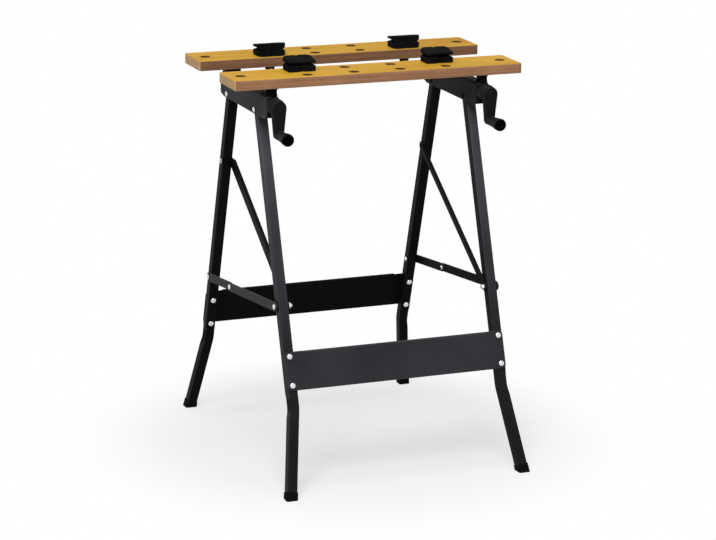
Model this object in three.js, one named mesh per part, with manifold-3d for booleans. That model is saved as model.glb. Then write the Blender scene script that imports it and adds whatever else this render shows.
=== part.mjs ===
// Folding workbench: two wooden clamping jaws on a pair of pressed channels, cranked together by
// two spindles, on four square-tube legs that swing forward under the top.
// Millimetres, +Z up, +X to the right and -Y towards the cranks. The origin is on the floor, midway
// between the feet.
import * as THREE from 'three';
import { mergeVertices } from 'three/addons/utils/BufferGeometryUtils.js';
import Module from 'manifold-3d';

// Driving dimensions of the jaws
const TOP_HEIGHT = 794;
const JAW_LENGTH = 605;
const JAW_WIDTH = 98;
const JAW_THICKNESS = 19.5;
const JAW_CORNER = 5;
const JAW_OPENING = 114;
const FRONT_JAW_Y = -89;
const DOG_HOLE = 20;
const HOLE_PITCH = 97.5;
const HOLES_PER_ROW = 4;
const ROW_PITCH = 51;
const END_HOLE_INSET = 27.5;

// Driving dimensions of the channels, spindles and cranks
const SIDE_INSET = 80;
const SHEET = 2;
const CHANNEL_REAR = 143;
const CHANNEL_FRONT = -130;
const CHANNEL_TAPER = 20;
const CHANNEL_END_RISE = 5;
const CHANNEL_CORNER = 5;
const JAW_STANDOFF = 17;
const FRONT_WALL = 3;
const SPINDLE_DIAMETER = 10;
const SPINDLE_DROP = 16.3;
const SPINDLE_REAR_INSET = 4;
const COLLAR_DIAMETER = 16;
const COLLAR_LENGTH = 6;
const CARRIAGE_LENGTH = 28;
const CARRIAGE_SETBACK = 12;
const CARRIAGE_WALL = 4.5;
const PAD_WIDTH = 30;
const PAD_LENGTH = 24;
const NECK_DIAMETER = 12;
const SOCKET_DEPTH = 9;
const CLOSED_OPENING = 1.5;
const JAW_BOLT_INSET = 10;
const JAW_BOLT_DIAMETER = 6;
const JAW_BOLT_HEAD = 11.5;
const JAW_BOLT_HEAD_HEIGHT = 4;
const SPACER_DIAMETER = 24.5;
const CRANK_NOSE_DIAMETER = 16;
const CRANK_NOSE_LENGTH = 4;
const CRANK_HUB_DIAMETER = 33;
const CRANK_HUB_LENGTH = 20;
const CRANK_ARM_THICKNESS = 12;
const CRANK_ARM_TOP = 30;
const CRANK_ARM_TIP = 20;
const CRANK_THROW = 52;
const HUB_FACE = 4;
const PEG_DIAMETER = 8;
const PEG_LENGTH = 40;
const KNOB_LENGTH = 50;
const KNOB_NECK = 20;
const KNOB_END = 25;

// Driving dimensions of the bench dogs
const DOG_WIDTH = 58;
const DOG_HEIGHT = 27;
const DOG_BACK_HEIGHT = 20.5;
const DOG_STEM_GAP = 0.5;
const DOG_FACE = 16;
const DOG_FACE_BEVEL = 7;
const DOG_FACE_NOTCH = 4;
const DOG_TOP_BACK = 23.5;
const DOG_TOP_CORNER = 3;
const DOG_BACK = 24;
const DOG_FOOT_CORNER = 5;
const DOG_FOOT_NOTCH = 16;
const DOG_FOOT_NOTCH_DEPTH = 4;
const DOG_RIB = 2.5;
const DOG_GROOVE_Z = 13.7;
const DOG_GROOVE_HEIGHT = 7;
const DOG_GROOVE_DEPTH = 8;
const DOG_FOOT_BEVEL = 2.5;
const STEM_BELOW_JAW = 9.5;
const STEM_WALL = 3;

// Driving dimensions of the legs, crossbars, struts and stays
const LEG_SIZE = 20;
const LEG_WALL = 1.5;
const LEG_OVER_PIVOT = 6;
const PIVOT_DROP = 38.3;
const PIVOT_EDGE = 8;
const FRONT_PIVOT_Y = -57;
const REAR_PIVOT_Y = 106;
const FOOT_Y = 309.25;
const FOOT_SPLAY = 25;
const BEND_HEIGHT = 165;
const CAP_WALL = 1.8;
const CAP_FLOOR = 4;
const CAP_HEIGHT = 14;
const CROSSBAR_HEIGHT = 76;
const CROSSBAR_CORNER = 8;
const FRONT_CROSSBAR_DROP = 478;
const CROSSBAR_BOLT_INSETS = [9.5, 66];
const TOOL_FLANGE = 28;
const REAR_FLANGE = 5;
const FLANGE_INSET = 37;
const TOOL_HOLE = 18;
const TOOL_HOLE_PITCH = 48;
const TOOL_HOLE_COUNT = 7;
const STRUT_WIDTH = 20;
const STRUT_FLANGE = 5;
const STRUT_FLANGE_UPPER = 4;
const STRUT_FLANGE_LOWER = 60;
const STRUT_UPPER = 153;
const STRUT_LOWER = 387.5;
const STAY_SHEET = 2.5;
const STAY_WIDTH = 18;
const STAY_UPPER = 427;
const STAY_TO_CROSSBAR = 43.5;
const REAR_STAY_LENGTH = 145;

// Pins, bolts and clearances
const PIN_DIAMETER = 6;
const PIN_HEAD = 11;
const PIN_HEAD_HEIGHT = 2.5;
const PIN_TAIL = 9;
const PIN_TAIL_HEIGHT = 2;
const WASHER_DIAMETER = 22;
const BOLT_HEAD = 11.5;
const BOLT_HEAD_HEIGHT = 3.5;
const BOLT_NUT = 10;
const BOLT_NUT_HEIGHT = 4.5;
const GAP = 0.3;
const RUNNING_GAP = 0.6;
const CUT_PAST = 5;
const FLOOR_REACH = 900;

// Sizes that follow from the driving dimensions
const REAR_CROSSBAR_DROP = STAY_UPPER + STAY_TO_CROSSBAR;
const REAR_JAW_Y = FRONT_JAW_Y + JAW_WIDTH + JAW_OPENING;
const SIDE_X = JAW_LENGTH / 2 - SIDE_INSET;
const FOOT_X = SIDE_X + FOOT_SPLAY;
const JAW_UNDERSIDE = TOP_HEIGHT - JAW_THICKNESS;
const CHANNEL_TOP = JAW_UNDERSIDE - JAW_STANDOFF;
const CHANNEL_INNER = LEG_SIZE + 2 * RUNNING_GAP;
const CHANNEL_WIDTH = CHANNEL_INNER + 2 * SHEET;
const SPINDLE_Z = CHANNEL_TOP - SPINDLE_DROP;
const SPINDLE_REAR = CHANNEL_REAR - SPINDLE_REAR_INSET;
const KNOB_Z = SPINDLE_Z - CRANK_THROW;
const PIVOT_Z = CHANNEL_TOP - PIVOT_DROP;
const CHANNEL_LOW = PIVOT_Z - PIVOT_EDGE;
const JAW_BOLT_Y = CHANNEL_FRONT + JAW_BOLT_INSET;
const CARRIAGE_Y = REAR_JAW_Y - CARRIAGE_SETBACK;
const CRANK_BACK = CHANNEL_FRONT - RUNNING_GAP;
const HUB_BACK = CRANK_BACK - CRANK_NOSE_LENGTH;
const ARM_BACK = HUB_BACK - CRANK_HUB_LENGTH;
const ARM_FRONT = ARM_BACK - CRANK_ARM_THICKNESS;
const SPINDLE_FRONT = ARM_BACK + HUB_FACE;
const FRONT_TILT = Math.atan2(FOOT_Y + FRONT_PIVOT_Y, PIVOT_Z);
const REAR_TILT = Math.atan2(FOOT_Y - REAR_PIVOT_Y, PIVOT_Z);
const LEG_INNER_X = SIDE_X - LEG_SIZE / 2;
const LEG_OUTER_X = SIDE_X + LEG_SIZE / 2;
const STRUT_X = LEG_INNER_X - GAP;
const REAR_STAY_X = LEG_OUTER_X + GAP;
const FRONT_STAY_X = REAR_STAY_X + STAY_SHEET + GAP;
const FLANGE_HALF = SIDE_X + LEG_SIZE / 2 - FLANGE_INSET;

// Finishes
const FINISHES = {
  wood: { color: 0xc79a45, roughness: 0.5, metalness: 0.0 },
  blackSteel: { color: 0x2d2d31, roughness: 0.45, metalness: 0.3 },
  blackPlastic: { color: 0x1b1b1d, roughness: 0.5, metalness: 0.0 },
  zinc: { color: 0xb9bcc0, roughness: 0.3, metalness: 0.9 },
};

const wasm = await Module();
wasm.setup();

// A closed three.js geometry as a solid that can be joined and cut
function solidFrom(geometry) {
  const bare = geometry.clone();
  bare.deleteAttribute('normal');
  bare.deleteAttribute('uv');
  const merged = mergeVertices(bare, 1e-4);
  return new wasm.Manifold(new wasm.Mesh({
    numProp: 3,
    vertProperties: new Float32Array(merged.attributes.position.array),
    triVerts: new Uint32Array(merged.index.array),
  }));
}

// A solid as a three.js geometry again
function geometryFrom(solid) {
  const mesh = solid.getMesh();
  const geometry = new THREE.BufferGeometry();
  geometry.setAttribute('position', new THREE.BufferAttribute(new Float32Array(mesh.vertProperties), 3));
  geometry.setIndex(new THREE.BufferAttribute(new Uint32Array(mesh.triVerts), 1));
  geometry.computeVertexNormals();
  return geometry;
}

function join(...geometries) {
  return geometryFrom(geometries.map(solidFrom).reduce((whole, next) => whole.add(next)));
}

function cut(geometry, ...tools) {
  return geometryFrom(tools.map(solidFrom).reduce((rest, tool) => rest.subtract(tool), solidFrom(geometry)));
}

// A box given by its limits along each axis, in either order
function boxBetween([xa, xb], [ya, yb], [za, zb]) {
  const box = new THREE.BoxGeometry(Math.abs(xb - xa), Math.abs(yb - ya), Math.abs(zb - za));
  return box.translate((xa + xb) / 2, (ya + yb) / 2, (za + zb) / 2);
}

// A round rod along X or Y between two places on that axis
function rodAlongX(diameter, [xa, xb], y, z, sides = 16) {
  const rod = new THREE.CylinderGeometry(diameter / 2, diameter / 2, Math.abs(xb - xa), sides);
  return rod.rotateZ(Math.PI / 2).translate((xa + xb) / 2, y, z);
}

function rodAlongY(diameter, x, [ya, yb], z, sides = 16) {
  const rod = new THREE.CylinderGeometry(diameter / 2, diameter / 2, Math.abs(yb - ya), sides);
  return rod.translate(x, (ya + yb) / 2, z);
}

function rodAlongZ(diameter, x, y, [za, zb], sides = 16) {
  const rod = new THREE.CylinderGeometry(diameter / 2, diameter / 2, Math.abs(zb - za), sides);
  return rod.rotateX(Math.PI / 2).translate(x, y, (za + zb) / 2);
}

// A turned piece: radius and height pairs from the bottom up, around its own Y axis
function turned(profile, sides = 16) {
  return new THREE.LatheGeometry(profile.map(([radius, height]) => new THREE.Vector2(radius, height)), sides);
}

// An outline in (y, z) pushed along X between two places
function slabAlongX(shape, [xa, xb], curveSegments = 6) {
  const low = Math.min(xa, xb);
  const slab = new THREE.ExtrudeGeometry(shape, {
    depth: Math.abs(xb - xa), bevelEnabled: false, curveSegments,
  });
  // the shape's x, y and depth become the part's y, z and x
  slab.applyMatrix4(new THREE.Matrix4().set(0, 0, 1, low, 1, 0, 0, 0, 0, 1, 0, 0, 0, 0, 0, 1));
  return slab;
}

const bench = new THREE.Group();

function addPiece(parent, name, geometry, finish) {
  const mesh = new THREE.Mesh(geometry, new THREE.MeshStandardMaterial(FINISHES[finish]));
  mesh.name = name;
  parent.add(mesh);
  return mesh;
}

const SIDES = [['left', -1], ['right', 1]];

// Rectangle with round corners about the origin
function roundedOutline(halfLength, halfWidth, corner) {
  const x = halfLength - corner;
  const y = halfWidth - corner;
  const outline = new THREE.Shape();
  outline.absarc(x, y, corner, 0, Math.PI / 2);
  outline.absarc(-x, y, corner, Math.PI / 2, Math.PI);
  outline.absarc(-x, -y, corner, Math.PI, 1.5 * Math.PI);
  outline.absarc(x, -y, corner, 1.5 * Math.PI, 2 * Math.PI);
  return outline;
}

// Jaws

// Where the dog holes are in a jaw, from its middle: a grid of two rows and one hole near each end
function dogHolePlaces() {
  const places = [];
  for (let column = 0; column < HOLES_PER_ROW; column += 1) {
    const x = (column - (HOLES_PER_ROW - 1) / 2) * HOLE_PITCH;
    places.push([x, -ROW_PITCH / 2], [x, ROW_PITCH / 2]);
  }
  const endX = JAW_LENGTH / 2 - END_HOLE_INSET;
  places.push([-endX, 0], [endX, 0]);
  return places;
}

function jawBoard() {
  const outline = roundedOutline(JAW_LENGTH / 2, JAW_WIDTH / 2, JAW_CORNER);
  for (const [holeX, holeY] of dogHolePlaces()) {
    outline.holes.push(new THREE.Path().absarc(holeX, holeY, DOG_HOLE / 2, 0, 2 * Math.PI));
  }
  const board = new THREE.ExtrudeGeometry(outline, {
    depth: JAW_THICKNESS, bevelEnabled: false, curveSegments: 8,
  });
  return board.translate(0, 0, JAW_UNDERSIDE);
}

// A blind hole in a jaw's underside above each side's channel
function jawSockets(diameter, y) {
  const limits = [JAW_UNDERSIDE - CUT_PAST, JAW_UNDERSIDE + SOCKET_DEPTH + GAP];
  return SIDES.map(([, side]) => rodAlongZ(diameter + 2 * GAP, side * SIDE_X, y, limits));
}

function addJaws() {
  const front = jawBoard().translate(0, FRONT_JAW_Y, 0);
  addPiece(bench, 'front_jaw', cut(front, ...jawSockets(JAW_BOLT_DIAMETER, JAW_BOLT_Y)), 'wood');
  const rear = jawBoard().translate(0, REAR_JAW_Y, 0);
  addPiece(bench, 'rear_jaw', cut(rear, ...jawSockets(NECK_DIAMETER, CARRIAGE_Y)), 'wood');
}

// Channels under the jaws

// Plan outline of a channel about its own middle: square at the rear, round corners at the front
function channelPlan(halfWidth, rear, front, corner) {
  const outline = new THREE.Shape();
  outline.moveTo(halfWidth, rear);
  outline.lineTo(-halfWidth, rear);
  outline.absarc(-halfWidth + corner, front + corner, corner, Math.PI, 1.5 * Math.PI);
  outline.absarc(halfWidth - corner, front + corner, corner, 1.5 * Math.PI, 2 * Math.PI);
  outline.closePath();
  return outline;
}

function channelBlock(x, outline, [low, high]) {
  const block = new THREE.ExtrudeGeometry(outline, {
    depth: high - low, bevelEnabled: false, curveSegments: 3,
  });
  return block.translate(x, 0, low);
}

// Wedge below one end of a channel that lets its lower edge rise towards that end
function endWedge(end, inward, across) {
  const slope = CHANNEL_END_RISE / CHANNEL_TAPER;
  const outline = new THREE.Shape();
  outline.moveTo(end - inward * CUT_PAST, CHANNEL_LOW - CUT_PAST);
  outline.lineTo(end - inward * CUT_PAST, CHANNEL_LOW + CHANNEL_END_RISE + slope * CUT_PAST);
  outline.lineTo(end + inward * CHANNEL_TAPER, CHANNEL_LOW);
  outline.lineTo(end + inward * CHANNEL_TAPER, CHANNEL_LOW - CUT_PAST);
  outline.closePath();
  return slabAlongX(outline, across);
}

// Channel open below and at the rear; the spindle turns in the wall across its front
function channel(side) {
  const x = side * SIDE_X;
  const across = [x - CHANNEL_WIDTH / 2 - CUT_PAST, x + CHANNEL_WIDTH / 2 + CUT_PAST];
  const wallRear = CHANNEL_FRONT + FRONT_WALL;
  const outside = channelPlan(CHANNEL_WIDTH / 2, CHANNEL_REAR, CHANNEL_FRONT, CHANNEL_CORNER);
  const innerCorner = CHANNEL_CORNER - FRONT_WALL;
  const inside = channelPlan(CHANNEL_INNER / 2, CHANNEL_REAR + CUT_PAST, wallRear, innerCorner);
  const slotHalf = NECK_DIAMETER / 2 + RUNNING_GAP;
  const travel = JAW_OPENING - CLOSED_OPENING;
  const webCut = [CHANNEL_TOP - SHEET - CUT_PAST, CHANNEL_TOP + CUT_PAST];
  const slot = boxBetween(
    [x - slotHalf, x + slotHalf],
    [CARRIAGE_Y - travel - slotHalf, CARRIAGE_Y + slotHalf],
    webCut,
  );
  const pinHole = PIN_DIAMETER + 2 * GAP;
  return cut(
    channelBlock(x, outside, [CHANNEL_LOW, CHANNEL_TOP]),
    channelBlock(x, inside, [CHANNEL_LOW - CUT_PAST, CHANNEL_TOP - SHEET]),
    endWedge(CHANNEL_FRONT, 1, across),
    endWedge(CHANNEL_REAR, -1, across),
    slot,
    rodAlongX(pinHole, across, FRONT_PIVOT_Y, PIVOT_Z),
    rodAlongX(pinHole, across, REAR_PIVOT_Y, PIVOT_Z),
    rodAlongZ(JAW_BOLT_DIAMETER + 2 * GAP, x, JAW_BOLT_Y, webCut),
    rodAlongY(SPINDLE_DIAMETER + 2 * GAP, x, [CHANNEL_FRONT - CUT_PAST, wallRear + CUT_PAST], SPINDLE_Z),
  );
}

// Bolt from under the channel's web, through the spacer and into the front jaw
function jawBolt(side) {
  const x = side * SIDE_X;
  const headTop = CHANNEL_TOP - SHEET - GAP;
  return join(
    rodAlongZ(JAW_BOLT_DIAMETER, x, JAW_BOLT_Y, [headTop, JAW_UNDERSIDE + SOCKET_DEPTH]),
    rodAlongZ(JAW_BOLT_HEAD, x, JAW_BOLT_Y, [headTop - JAW_BOLT_HEAD_HEIGHT, headTop], 6),
  );
}

// Sleeve that carries the front jaw above the channel
function jawSpacer(side) {
  const x = side * SIDE_X;
  const limits = [CHANNEL_TOP + GAP, JAW_UNDERSIDE - GAP];
  const bore = [limits[0] - CUT_PAST, limits[1] + CUT_PAST];
  return cut(
    rodAlongZ(SPACER_DIAMETER, x, JAW_BOLT_Y, limits, 20),
    rodAlongZ(JAW_BOLT_DIAMETER + 2 * GAP, x, JAW_BOLT_Y, bore, 12),
  );
}

function addChannels() {
  for (const [word, side] of SIDES) {
    addPiece(bench, `channel_${word}`, channel(side), 'blackSteel');
    addPiece(bench, `jaw_bolt_${word}`, jawBolt(side), 'zinc');
    addPiece(bench, `jaw_spacer_${word}`, jawSpacer(side), 'blackPlastic');
  }
}

// Spindles, carriages and cranks

// Nut block that the spindle draws along. Its neck passes the channel's slot to a pad that slides on
// the channel and ends in the rear jaw
function carriage(side) {
  const x = side * SIDE_X;
  const halfWidth = CHANNEL_INNER / 2 - RUNNING_GAP;
  const halfLength = CARRIAGE_LENGTH / 2;
  const block = boxBetween(
    [x - halfWidth, x + halfWidth],
    [CARRIAGE_Y - halfLength, CARRIAGE_Y + halfLength],
    [SPINDLE_Z - SPINDLE_DIAMETER / 2 - CARRIAGE_WALL, CHANNEL_TOP - SHEET - RUNNING_GAP],
  );
  const neck = rodAlongZ(NECK_DIAMETER, x, CARRIAGE_Y, [SPINDLE_Z, JAW_UNDERSIDE + SOCKET_DEPTH]);
  const pad = boxBetween(
    [x - PAD_WIDTH / 2, x + PAD_WIDTH / 2],
    [CARRIAGE_Y - PAD_LENGTH / 2, CARRIAGE_Y + PAD_LENGTH / 2],
    [CHANNEL_TOP + GAP, JAW_UNDERSIDE - GAP],
  );
  const through = [CARRIAGE_Y - halfLength - CUT_PAST, CARRIAGE_Y + halfLength + CUT_PAST];
  return cut(join(block, neck, pad), rodAlongY(SPINDLE_DIAMETER + 2 * GAP, x, through, SPINDLE_Z));
}

// Collar behind the channel's front wall that keeps the spindle from being drawn out
function spindleCollar(side) {
  const x = side * SIDE_X;
  const front = CHANNEL_FRONT + FRONT_WALL + GAP;
  const limits = [front, front + COLLAR_LENGTH];
  const bore = [front - CUT_PAST, front + COLLAR_LENGTH + CUT_PAST];
  return cut(
    rodAlongY(COLLAR_DIAMETER, x, limits, SPINDLE_Z),
    rodAlongY(SPINDLE_DIAMETER + 2 * GAP, x, bore, SPINDLE_Z),
  );
}

// Crank: a nose against the channel's front wall, a round hub, an arm that narrows to its tip and a peg
function crank(side) {
  const x = side * SIDE_X;
  const top = CRANK_ARM_TOP / 2;
  const tip = CRANK_ARM_TIP / 2;
  const lean = Math.asin((top - tip) / CRANK_THROW);
  const outline = new THREE.Shape();
  outline.absarc(0, CRANK_THROW, top, -lean, Math.PI + lean);
  outline.absarc(0, 0, tip, Math.PI + lean, 2 * Math.PI - lean);
  const arm = new THREE.ExtrudeGeometry(outline, {
    depth: CRANK_ARM_THICKNESS, bevelEnabled: false, curveSegments: 8,
  });
  arm.rotateX(Math.PI / 2).translate(x, ARM_BACK, KNOB_Z);
  const whole = join(
    rodAlongY(CRANK_NOSE_DIAMETER, x, [CRANK_BACK, ARM_BACK], SPINDLE_Z, 20),
    rodAlongY(CRANK_HUB_DIAMETER, x, [HUB_BACK, ARM_BACK], SPINDLE_Z, 24),
    arm,
    rodAlongY(PEG_DIAMETER, x, [ARM_BACK, ARM_FRONT - PEG_LENGTH], KNOB_Z),
  );
  const bore = [SPINDLE_FRONT - GAP, CRANK_BACK + CUT_PAST];
  return cut(whole, rodAlongY(SPINDLE_DIAMETER + 2 * GAP, x, bore, SPINDLE_Z));
}

// Knob that spins on the crank's peg: a waisted grip, fuller towards its round end
function knob(side) {
  const neck = KNOB_NECK / 2;
  const end = KNOB_END / 2;
  const round = end / 3;
  const bore = PEG_DIAMETER / 2 + GAP;
  const grip = turned([
    [bore, 0],
    [neck, 0],
    [neck, KNOB_LENGTH / 4],
    [end, KNOB_LENGTH - 2 * round],
    [end, KNOB_LENGTH - round],
    [end - round, KNOB_LENGTH],
    [0, KNOB_LENGTH],
    [0, PEG_LENGTH + GAP],
    [bore, PEG_LENGTH + GAP],
    [bore, 0],
  ], 20);
  return grip.rotateX(Math.PI).translate(side * SIDE_X, ARM_FRONT - GAP, KNOB_Z);
}

function addDrives() {
  for (const [word, side] of SIDES) {
    const rod = rodAlongY(SPINDLE_DIAMETER, side * SIDE_X, [SPINDLE_FRONT, SPINDLE_REAR], SPINDLE_Z);
    addPiece(bench, `spindle_${word}`, rod, 'zinc');
    addPiece(bench, `spindle_collar_${word}`, spindleCollar(side), 'zinc');
    addPiece(bench, `carriage_${word}`, carriage(side), 'blackPlastic');
    addPiece(bench, `crank_${word}`, crank(side), 'blackPlastic');
    addPiece(bench, `crank_knob_${word}`, knob(side), 'blackPlastic');
  }
}

// Bench dogs

// Clamping side of a dog's outline, from left to right: a straight face with bevelled corners
function dogFaceSide(outline) {
  const half = DOG_WIDTH / 2;
  outline.moveTo(half, DOG_FACE - DOG_FACE_BEVEL);
  outline.lineTo(half - DOG_FACE_BEVEL, DOG_FACE);
  outline.lineTo(-half + DOG_FACE_BEVEL, DOG_FACE);
  outline.lineTo(-half, DOG_FACE - DOG_FACE_BEVEL);
}

// Outline of a dog's upper tier: a plain back with round corners
function dogTopOutline() {
  const x = DOG_WIDTH / 2 - DOG_TOP_CORNER;
  const y = -DOG_TOP_BACK + DOG_TOP_CORNER;
  const outline = new THREE.Shape();
  dogFaceSide(outline);
  outline.absarc(-x, y, DOG_TOP_CORNER, Math.PI, 1.5 * Math.PI);
  outline.absarc(x, y, DOG_TOP_CORNER, 1.5 * Math.PI, 2 * Math.PI);
  outline.closePath();
  return outline;
}

// Outline of a dog's lower tier: a back with round corners and a V-notch between its two halves
function dogFootOutline() {
  const x = DOG_WIDTH / 2 - DOG_FOOT_CORNER;
  const y = -DOG_BACK + DOG_FOOT_CORNER;
  const outline = new THREE.Shape();
  dogFaceSide(outline);
  outline.absarc(-x, y, DOG_FOOT_CORNER, Math.PI, 1.5 * Math.PI);
  outline.lineTo(-DOG_FOOT_NOTCH / 2, -DOG_BACK);
  outline.lineTo(0, -DOG_BACK + DOG_FOOT_NOTCH_DEPTH);
  outline.lineTo(DOG_FOOT_NOTCH / 2, -DOG_BACK);
  outline.absarc(x, y, DOG_FOOT_CORNER, 1.5 * Math.PI, 2 * Math.PI);
  outline.closePath();
  return outline;
}

function dogTier(outline, low, high) {
  const tier = new THREE.ExtrudeGeometry(outline, {
    depth: high - low, bevelEnabled: false, curveSegments: 5,
  });
  return tier.translate(0, 0, low);
}

// Everything above a dog's top, which falls from the clamping face to the back
function aboveDog() {
  const fall = (DOG_HEIGHT - DOG_BACK_HEIGHT) / (DOG_FACE + DOG_TOP_BACK);
  const front = DOG_FACE + CUT_PAST;
  const back = -DOG_TOP_BACK - CUT_PAST;
  const outline = new THREE.Shape([
    new THREE.Vector2(front, DOG_HEIGHT + CUT_PAST * fall),
    new THREE.Vector2(front, DOG_HEIGHT + 2 * CUT_PAST),
    new THREE.Vector2(back, DOG_HEIGHT + 2 * CUT_PAST),
    new THREE.Vector2(back, DOG_BACK_HEIGHT - CUT_PAST * fall),
  ]);
  const length = DOG_WIDTH / 2 + CUT_PAST;
  return slabAlongX(outline, [-length, length]);
}

// V-groove along a dog's back, between the edges of its two tiers
function dogBackGroove() {
  const half = DOG_GROOVE_HEIGHT / 2;
  const outline = new THREE.Shape();
  outline.moveTo(-DOG_TOP_BACK + DOG_GROOVE_DEPTH, DOG_GROOVE_Z);
  outline.lineTo(-DOG_TOP_BACK, DOG_GROOVE_Z + half);
  outline.lineTo(-DOG_BACK - CUT_PAST, DOG_GROOVE_Z + half);
  outline.lineTo(-DOG_BACK - CUT_PAST, DOG_GROOVE_Z - half);
  outline.lineTo(-DOG_BACK, DOG_GROOVE_Z - half);
  outline.closePath();
  const length = DOG_WIDTH / 2 + CUT_PAST;
  return slabAlongX(outline, [-length, length]);
}

// V-groove across a dog's end, and the bevel under that end
function dogEndCuts(side) {
  const half = DOG_GROOVE_HEIGHT / 2;
  const end = DOG_WIDTH / 2;
  const groove = [[end - DOG_GROOVE_DEPTH, 0], [end + CUT_PAST, -half - CUT_PAST * half / DOG_GROOVE_DEPTH],
    [end + CUT_PAST, half + CUT_PAST * half / DOG_GROOVE_DEPTH]];
  const bevel = [[end - DOG_FOOT_BEVEL - CUT_PAST, -CUT_PAST], [end + CUT_PAST, -CUT_PAST],
    [end + CUT_PAST, DOG_FOOT_BEVEL + CUT_PAST]];
  return [[groove, DOG_GROOVE_Z], [bevel, 0]].map(([corners, z]) => {
    const outline = new THREE.Shape(corners.map(([x, up]) => new THREE.Vector2(side * x, up)));
    const slab = new THREE.ExtrudeGeometry(outline, {
      depth: 2 * (DOG_BACK + DOG_FACE), bevelEnabled: false,
    });
    return slab.rotateX(Math.PI / 2).translate(0, DOG_BACK + DOG_FACE, z);
  });
}

// Upright V-notch in the middle of a dog's clamping face
function dogFaceNotch() {
  const reach = DOG_FACE_NOTCH + CUT_PAST;
  const outline = new THREE.Shape([
    new THREE.Vector2(0, DOG_FACE - DOG_FACE_NOTCH),
    new THREE.Vector2(reach, DOG_FACE + CUT_PAST),
    new THREE.Vector2(-reach, DOG_FACE + CUT_PAST),
  ]);
  return dogTier(outline, -CUT_PAST, DOG_HEIGHT + 2 * CUT_PAST);
}

function dog() {
  const stemDiameter = DOG_HOLE - 2 * DOG_STEM_GAP;
  const stemLow = -GAP - JAW_THICKNESS - STEM_BELOW_JAW;
  const tiers = cut(
    join(
      dogTier(dogFootOutline(), 0, DOG_GROOVE_Z),
      dogTier(dogTopOutline(), DOG_GROOVE_Z, DOG_HEIGHT + CUT_PAST),
    ),
    aboveDog(),
    dogBackGroove(),
    ...SIDES.flatMap(([, side]) => dogEndCuts(side)),
    dogFaceNotch(),
  );
  const ribBack = -DOG_BACK + DOG_FOOT_NOTCH_DEPTH / 2;
  const rib = boxBetween(
    [-DOG_RIB / 2, DOG_RIB / 2],
    [ribBack, -DOG_TOP_BACK + 2 * DOG_GROOVE_DEPTH],
    [0, DOG_GROOVE_Z],
  );
  const stem = rodAlongZ(stemDiameter, 0, 0, [stemLow, DOG_GROOVE_Z / 2], 20);
  const hollow = rodAlongZ(stemDiameter - 2 * STEM_WALL, 0, 0, [stemLow - CUT_PAST, -GAP], 12);
  return cut(join(tiers, rib, stem), hollow);
}

function addDogs() {
  const x = (HOLES_PER_ROW - 1) / 2 * HOLE_PITCH;
  const rows = [
    ['front', FRONT_JAW_Y + ROW_PITCH / 2, 0],
    ['rear', REAR_JAW_Y - ROW_PITCH / 2, Math.PI],
  ];
  for (const [row, y, turn] of rows) {
    for (const [word, side] of SIDES) {
      const piece = addPiece(bench, `dog_${row}_${word}`, dog(), 'blackPlastic');
      piece.position.set(side * x, y, TOP_HEIGHT + GAP);
      piece.rotation.z = turn;
    }
  }
}

// Pins and bolts

// Pin along X through a side frame, head outwards: inner and outer are the faces that it clamps
function sidePin(side, inner, outer, tailHeight) {
  const shank = PIN_DIAMETER / 2;
  const head = PIN_HEAD / 2;
  const tail = PIN_TAIL / 2;
  const headBase = outer + GAP;
  const profile = [[0, inner - GAP - tailHeight]];
  if (tailHeight > 0) {
    profile.push([tail, inner - GAP - tailHeight], [tail, inner - GAP]);
  }
  profile.push([shank, inner - GAP], [shank, headBase], [head, headBase]);
  profile.push([head * 0.75, headBase + PIN_HEAD_HEIGHT], [0, headBase + PIN_HEAD_HEIGHT]);
  return turned(profile, 12).rotateZ(-side * Math.PI / 2);
}

// Bolt through a crossbar and a leg, along the leg's own Y: head at the low end, nut at the high end
function crossbarBolt(low, high) {
  const shank = PIN_DIAMETER / 2;
  const head = BOLT_HEAD / 2;
  const nut = BOLT_NUT / 2;
  return turned([
    [0, low - GAP - BOLT_HEAD_HEIGHT],
    [head * 0.6, low - GAP - BOLT_HEAD_HEIGHT],
    [head, low - GAP - BOLT_HEAD_HEIGHT / 2],
    [head, low - GAP],
    [shank, low - GAP],
    [shank, high + GAP],
    [nut, high + GAP],
    [nut, high + GAP + BOLT_NUT_HEIGHT],
    [0, high + GAP + BOLT_NUT_HEIGHT],
  ], 12);
}

// Leg frames: each hangs from its pivots in a group whose -Z runs down the legs

function legFrame(pivotY, tilt) {
  const frame = new THREE.Group();
  frame.position.set(0, pivotY, PIVOT_Z);
  frame.rotation.x = tilt;
  frame.updateMatrix();
  bench.add(frame);
  return frame;
}

// Everything below a height above the floor, seen in a leg frame
function belowHeight(frame, height) {
  const slab = boxBetween([-FLOOR_REACH, FLOOR_REACH], [-FLOOR_REACH, FLOOR_REACH], [-FLOOR_REACH, height]);
  return slab.applyMatrix4(frame.matrix.clone().invert());
}

// How far down the legs the bend and the floor are, and how far the lower part splays
function legRun(tilt) {
  const bend = (PIVOT_Z - BEND_HEIGHT) / Math.cos(tilt);
  const floor = PIVOT_Z / Math.cos(tilt);
  return { bend, floor, splay: Math.atan2(FOOT_X - SIDE_X, floor - bend) };
}

// Square bar along the lower, splayed part of a leg, from the given distances below the bend
function lowerBar(side, tilt, width, from, to) {
  const { bend, splay } = legRun(tilt);
  const bar = boxBetween([-width / 2, width / 2], [-width / 2, width / 2], [-from, -to]);
  return bar.rotateY(-side * splay).translate(side * SIDE_X, 0, -bend);
}

// Square bar along the whole leg, bent outwards above the crossbar's lower end
function bentBar(side, tilt, width, past) {
  const { bend, floor, splay } = legRun(tilt);
  const mitre = width / 2 * Math.tan(splay / 2);
  const x = side * SIDE_X;
  const upper = boxBetween(
    [x - width / 2, x + width / 2],
    [-width / 2, width / 2],
    [-bend - mitre, LEG_OVER_PIVOT + past],
  );
  return join(upper, lowerBar(side, tilt, width, -mitre, floor - bend + LEG_SIZE * 2 + past));
}

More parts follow.
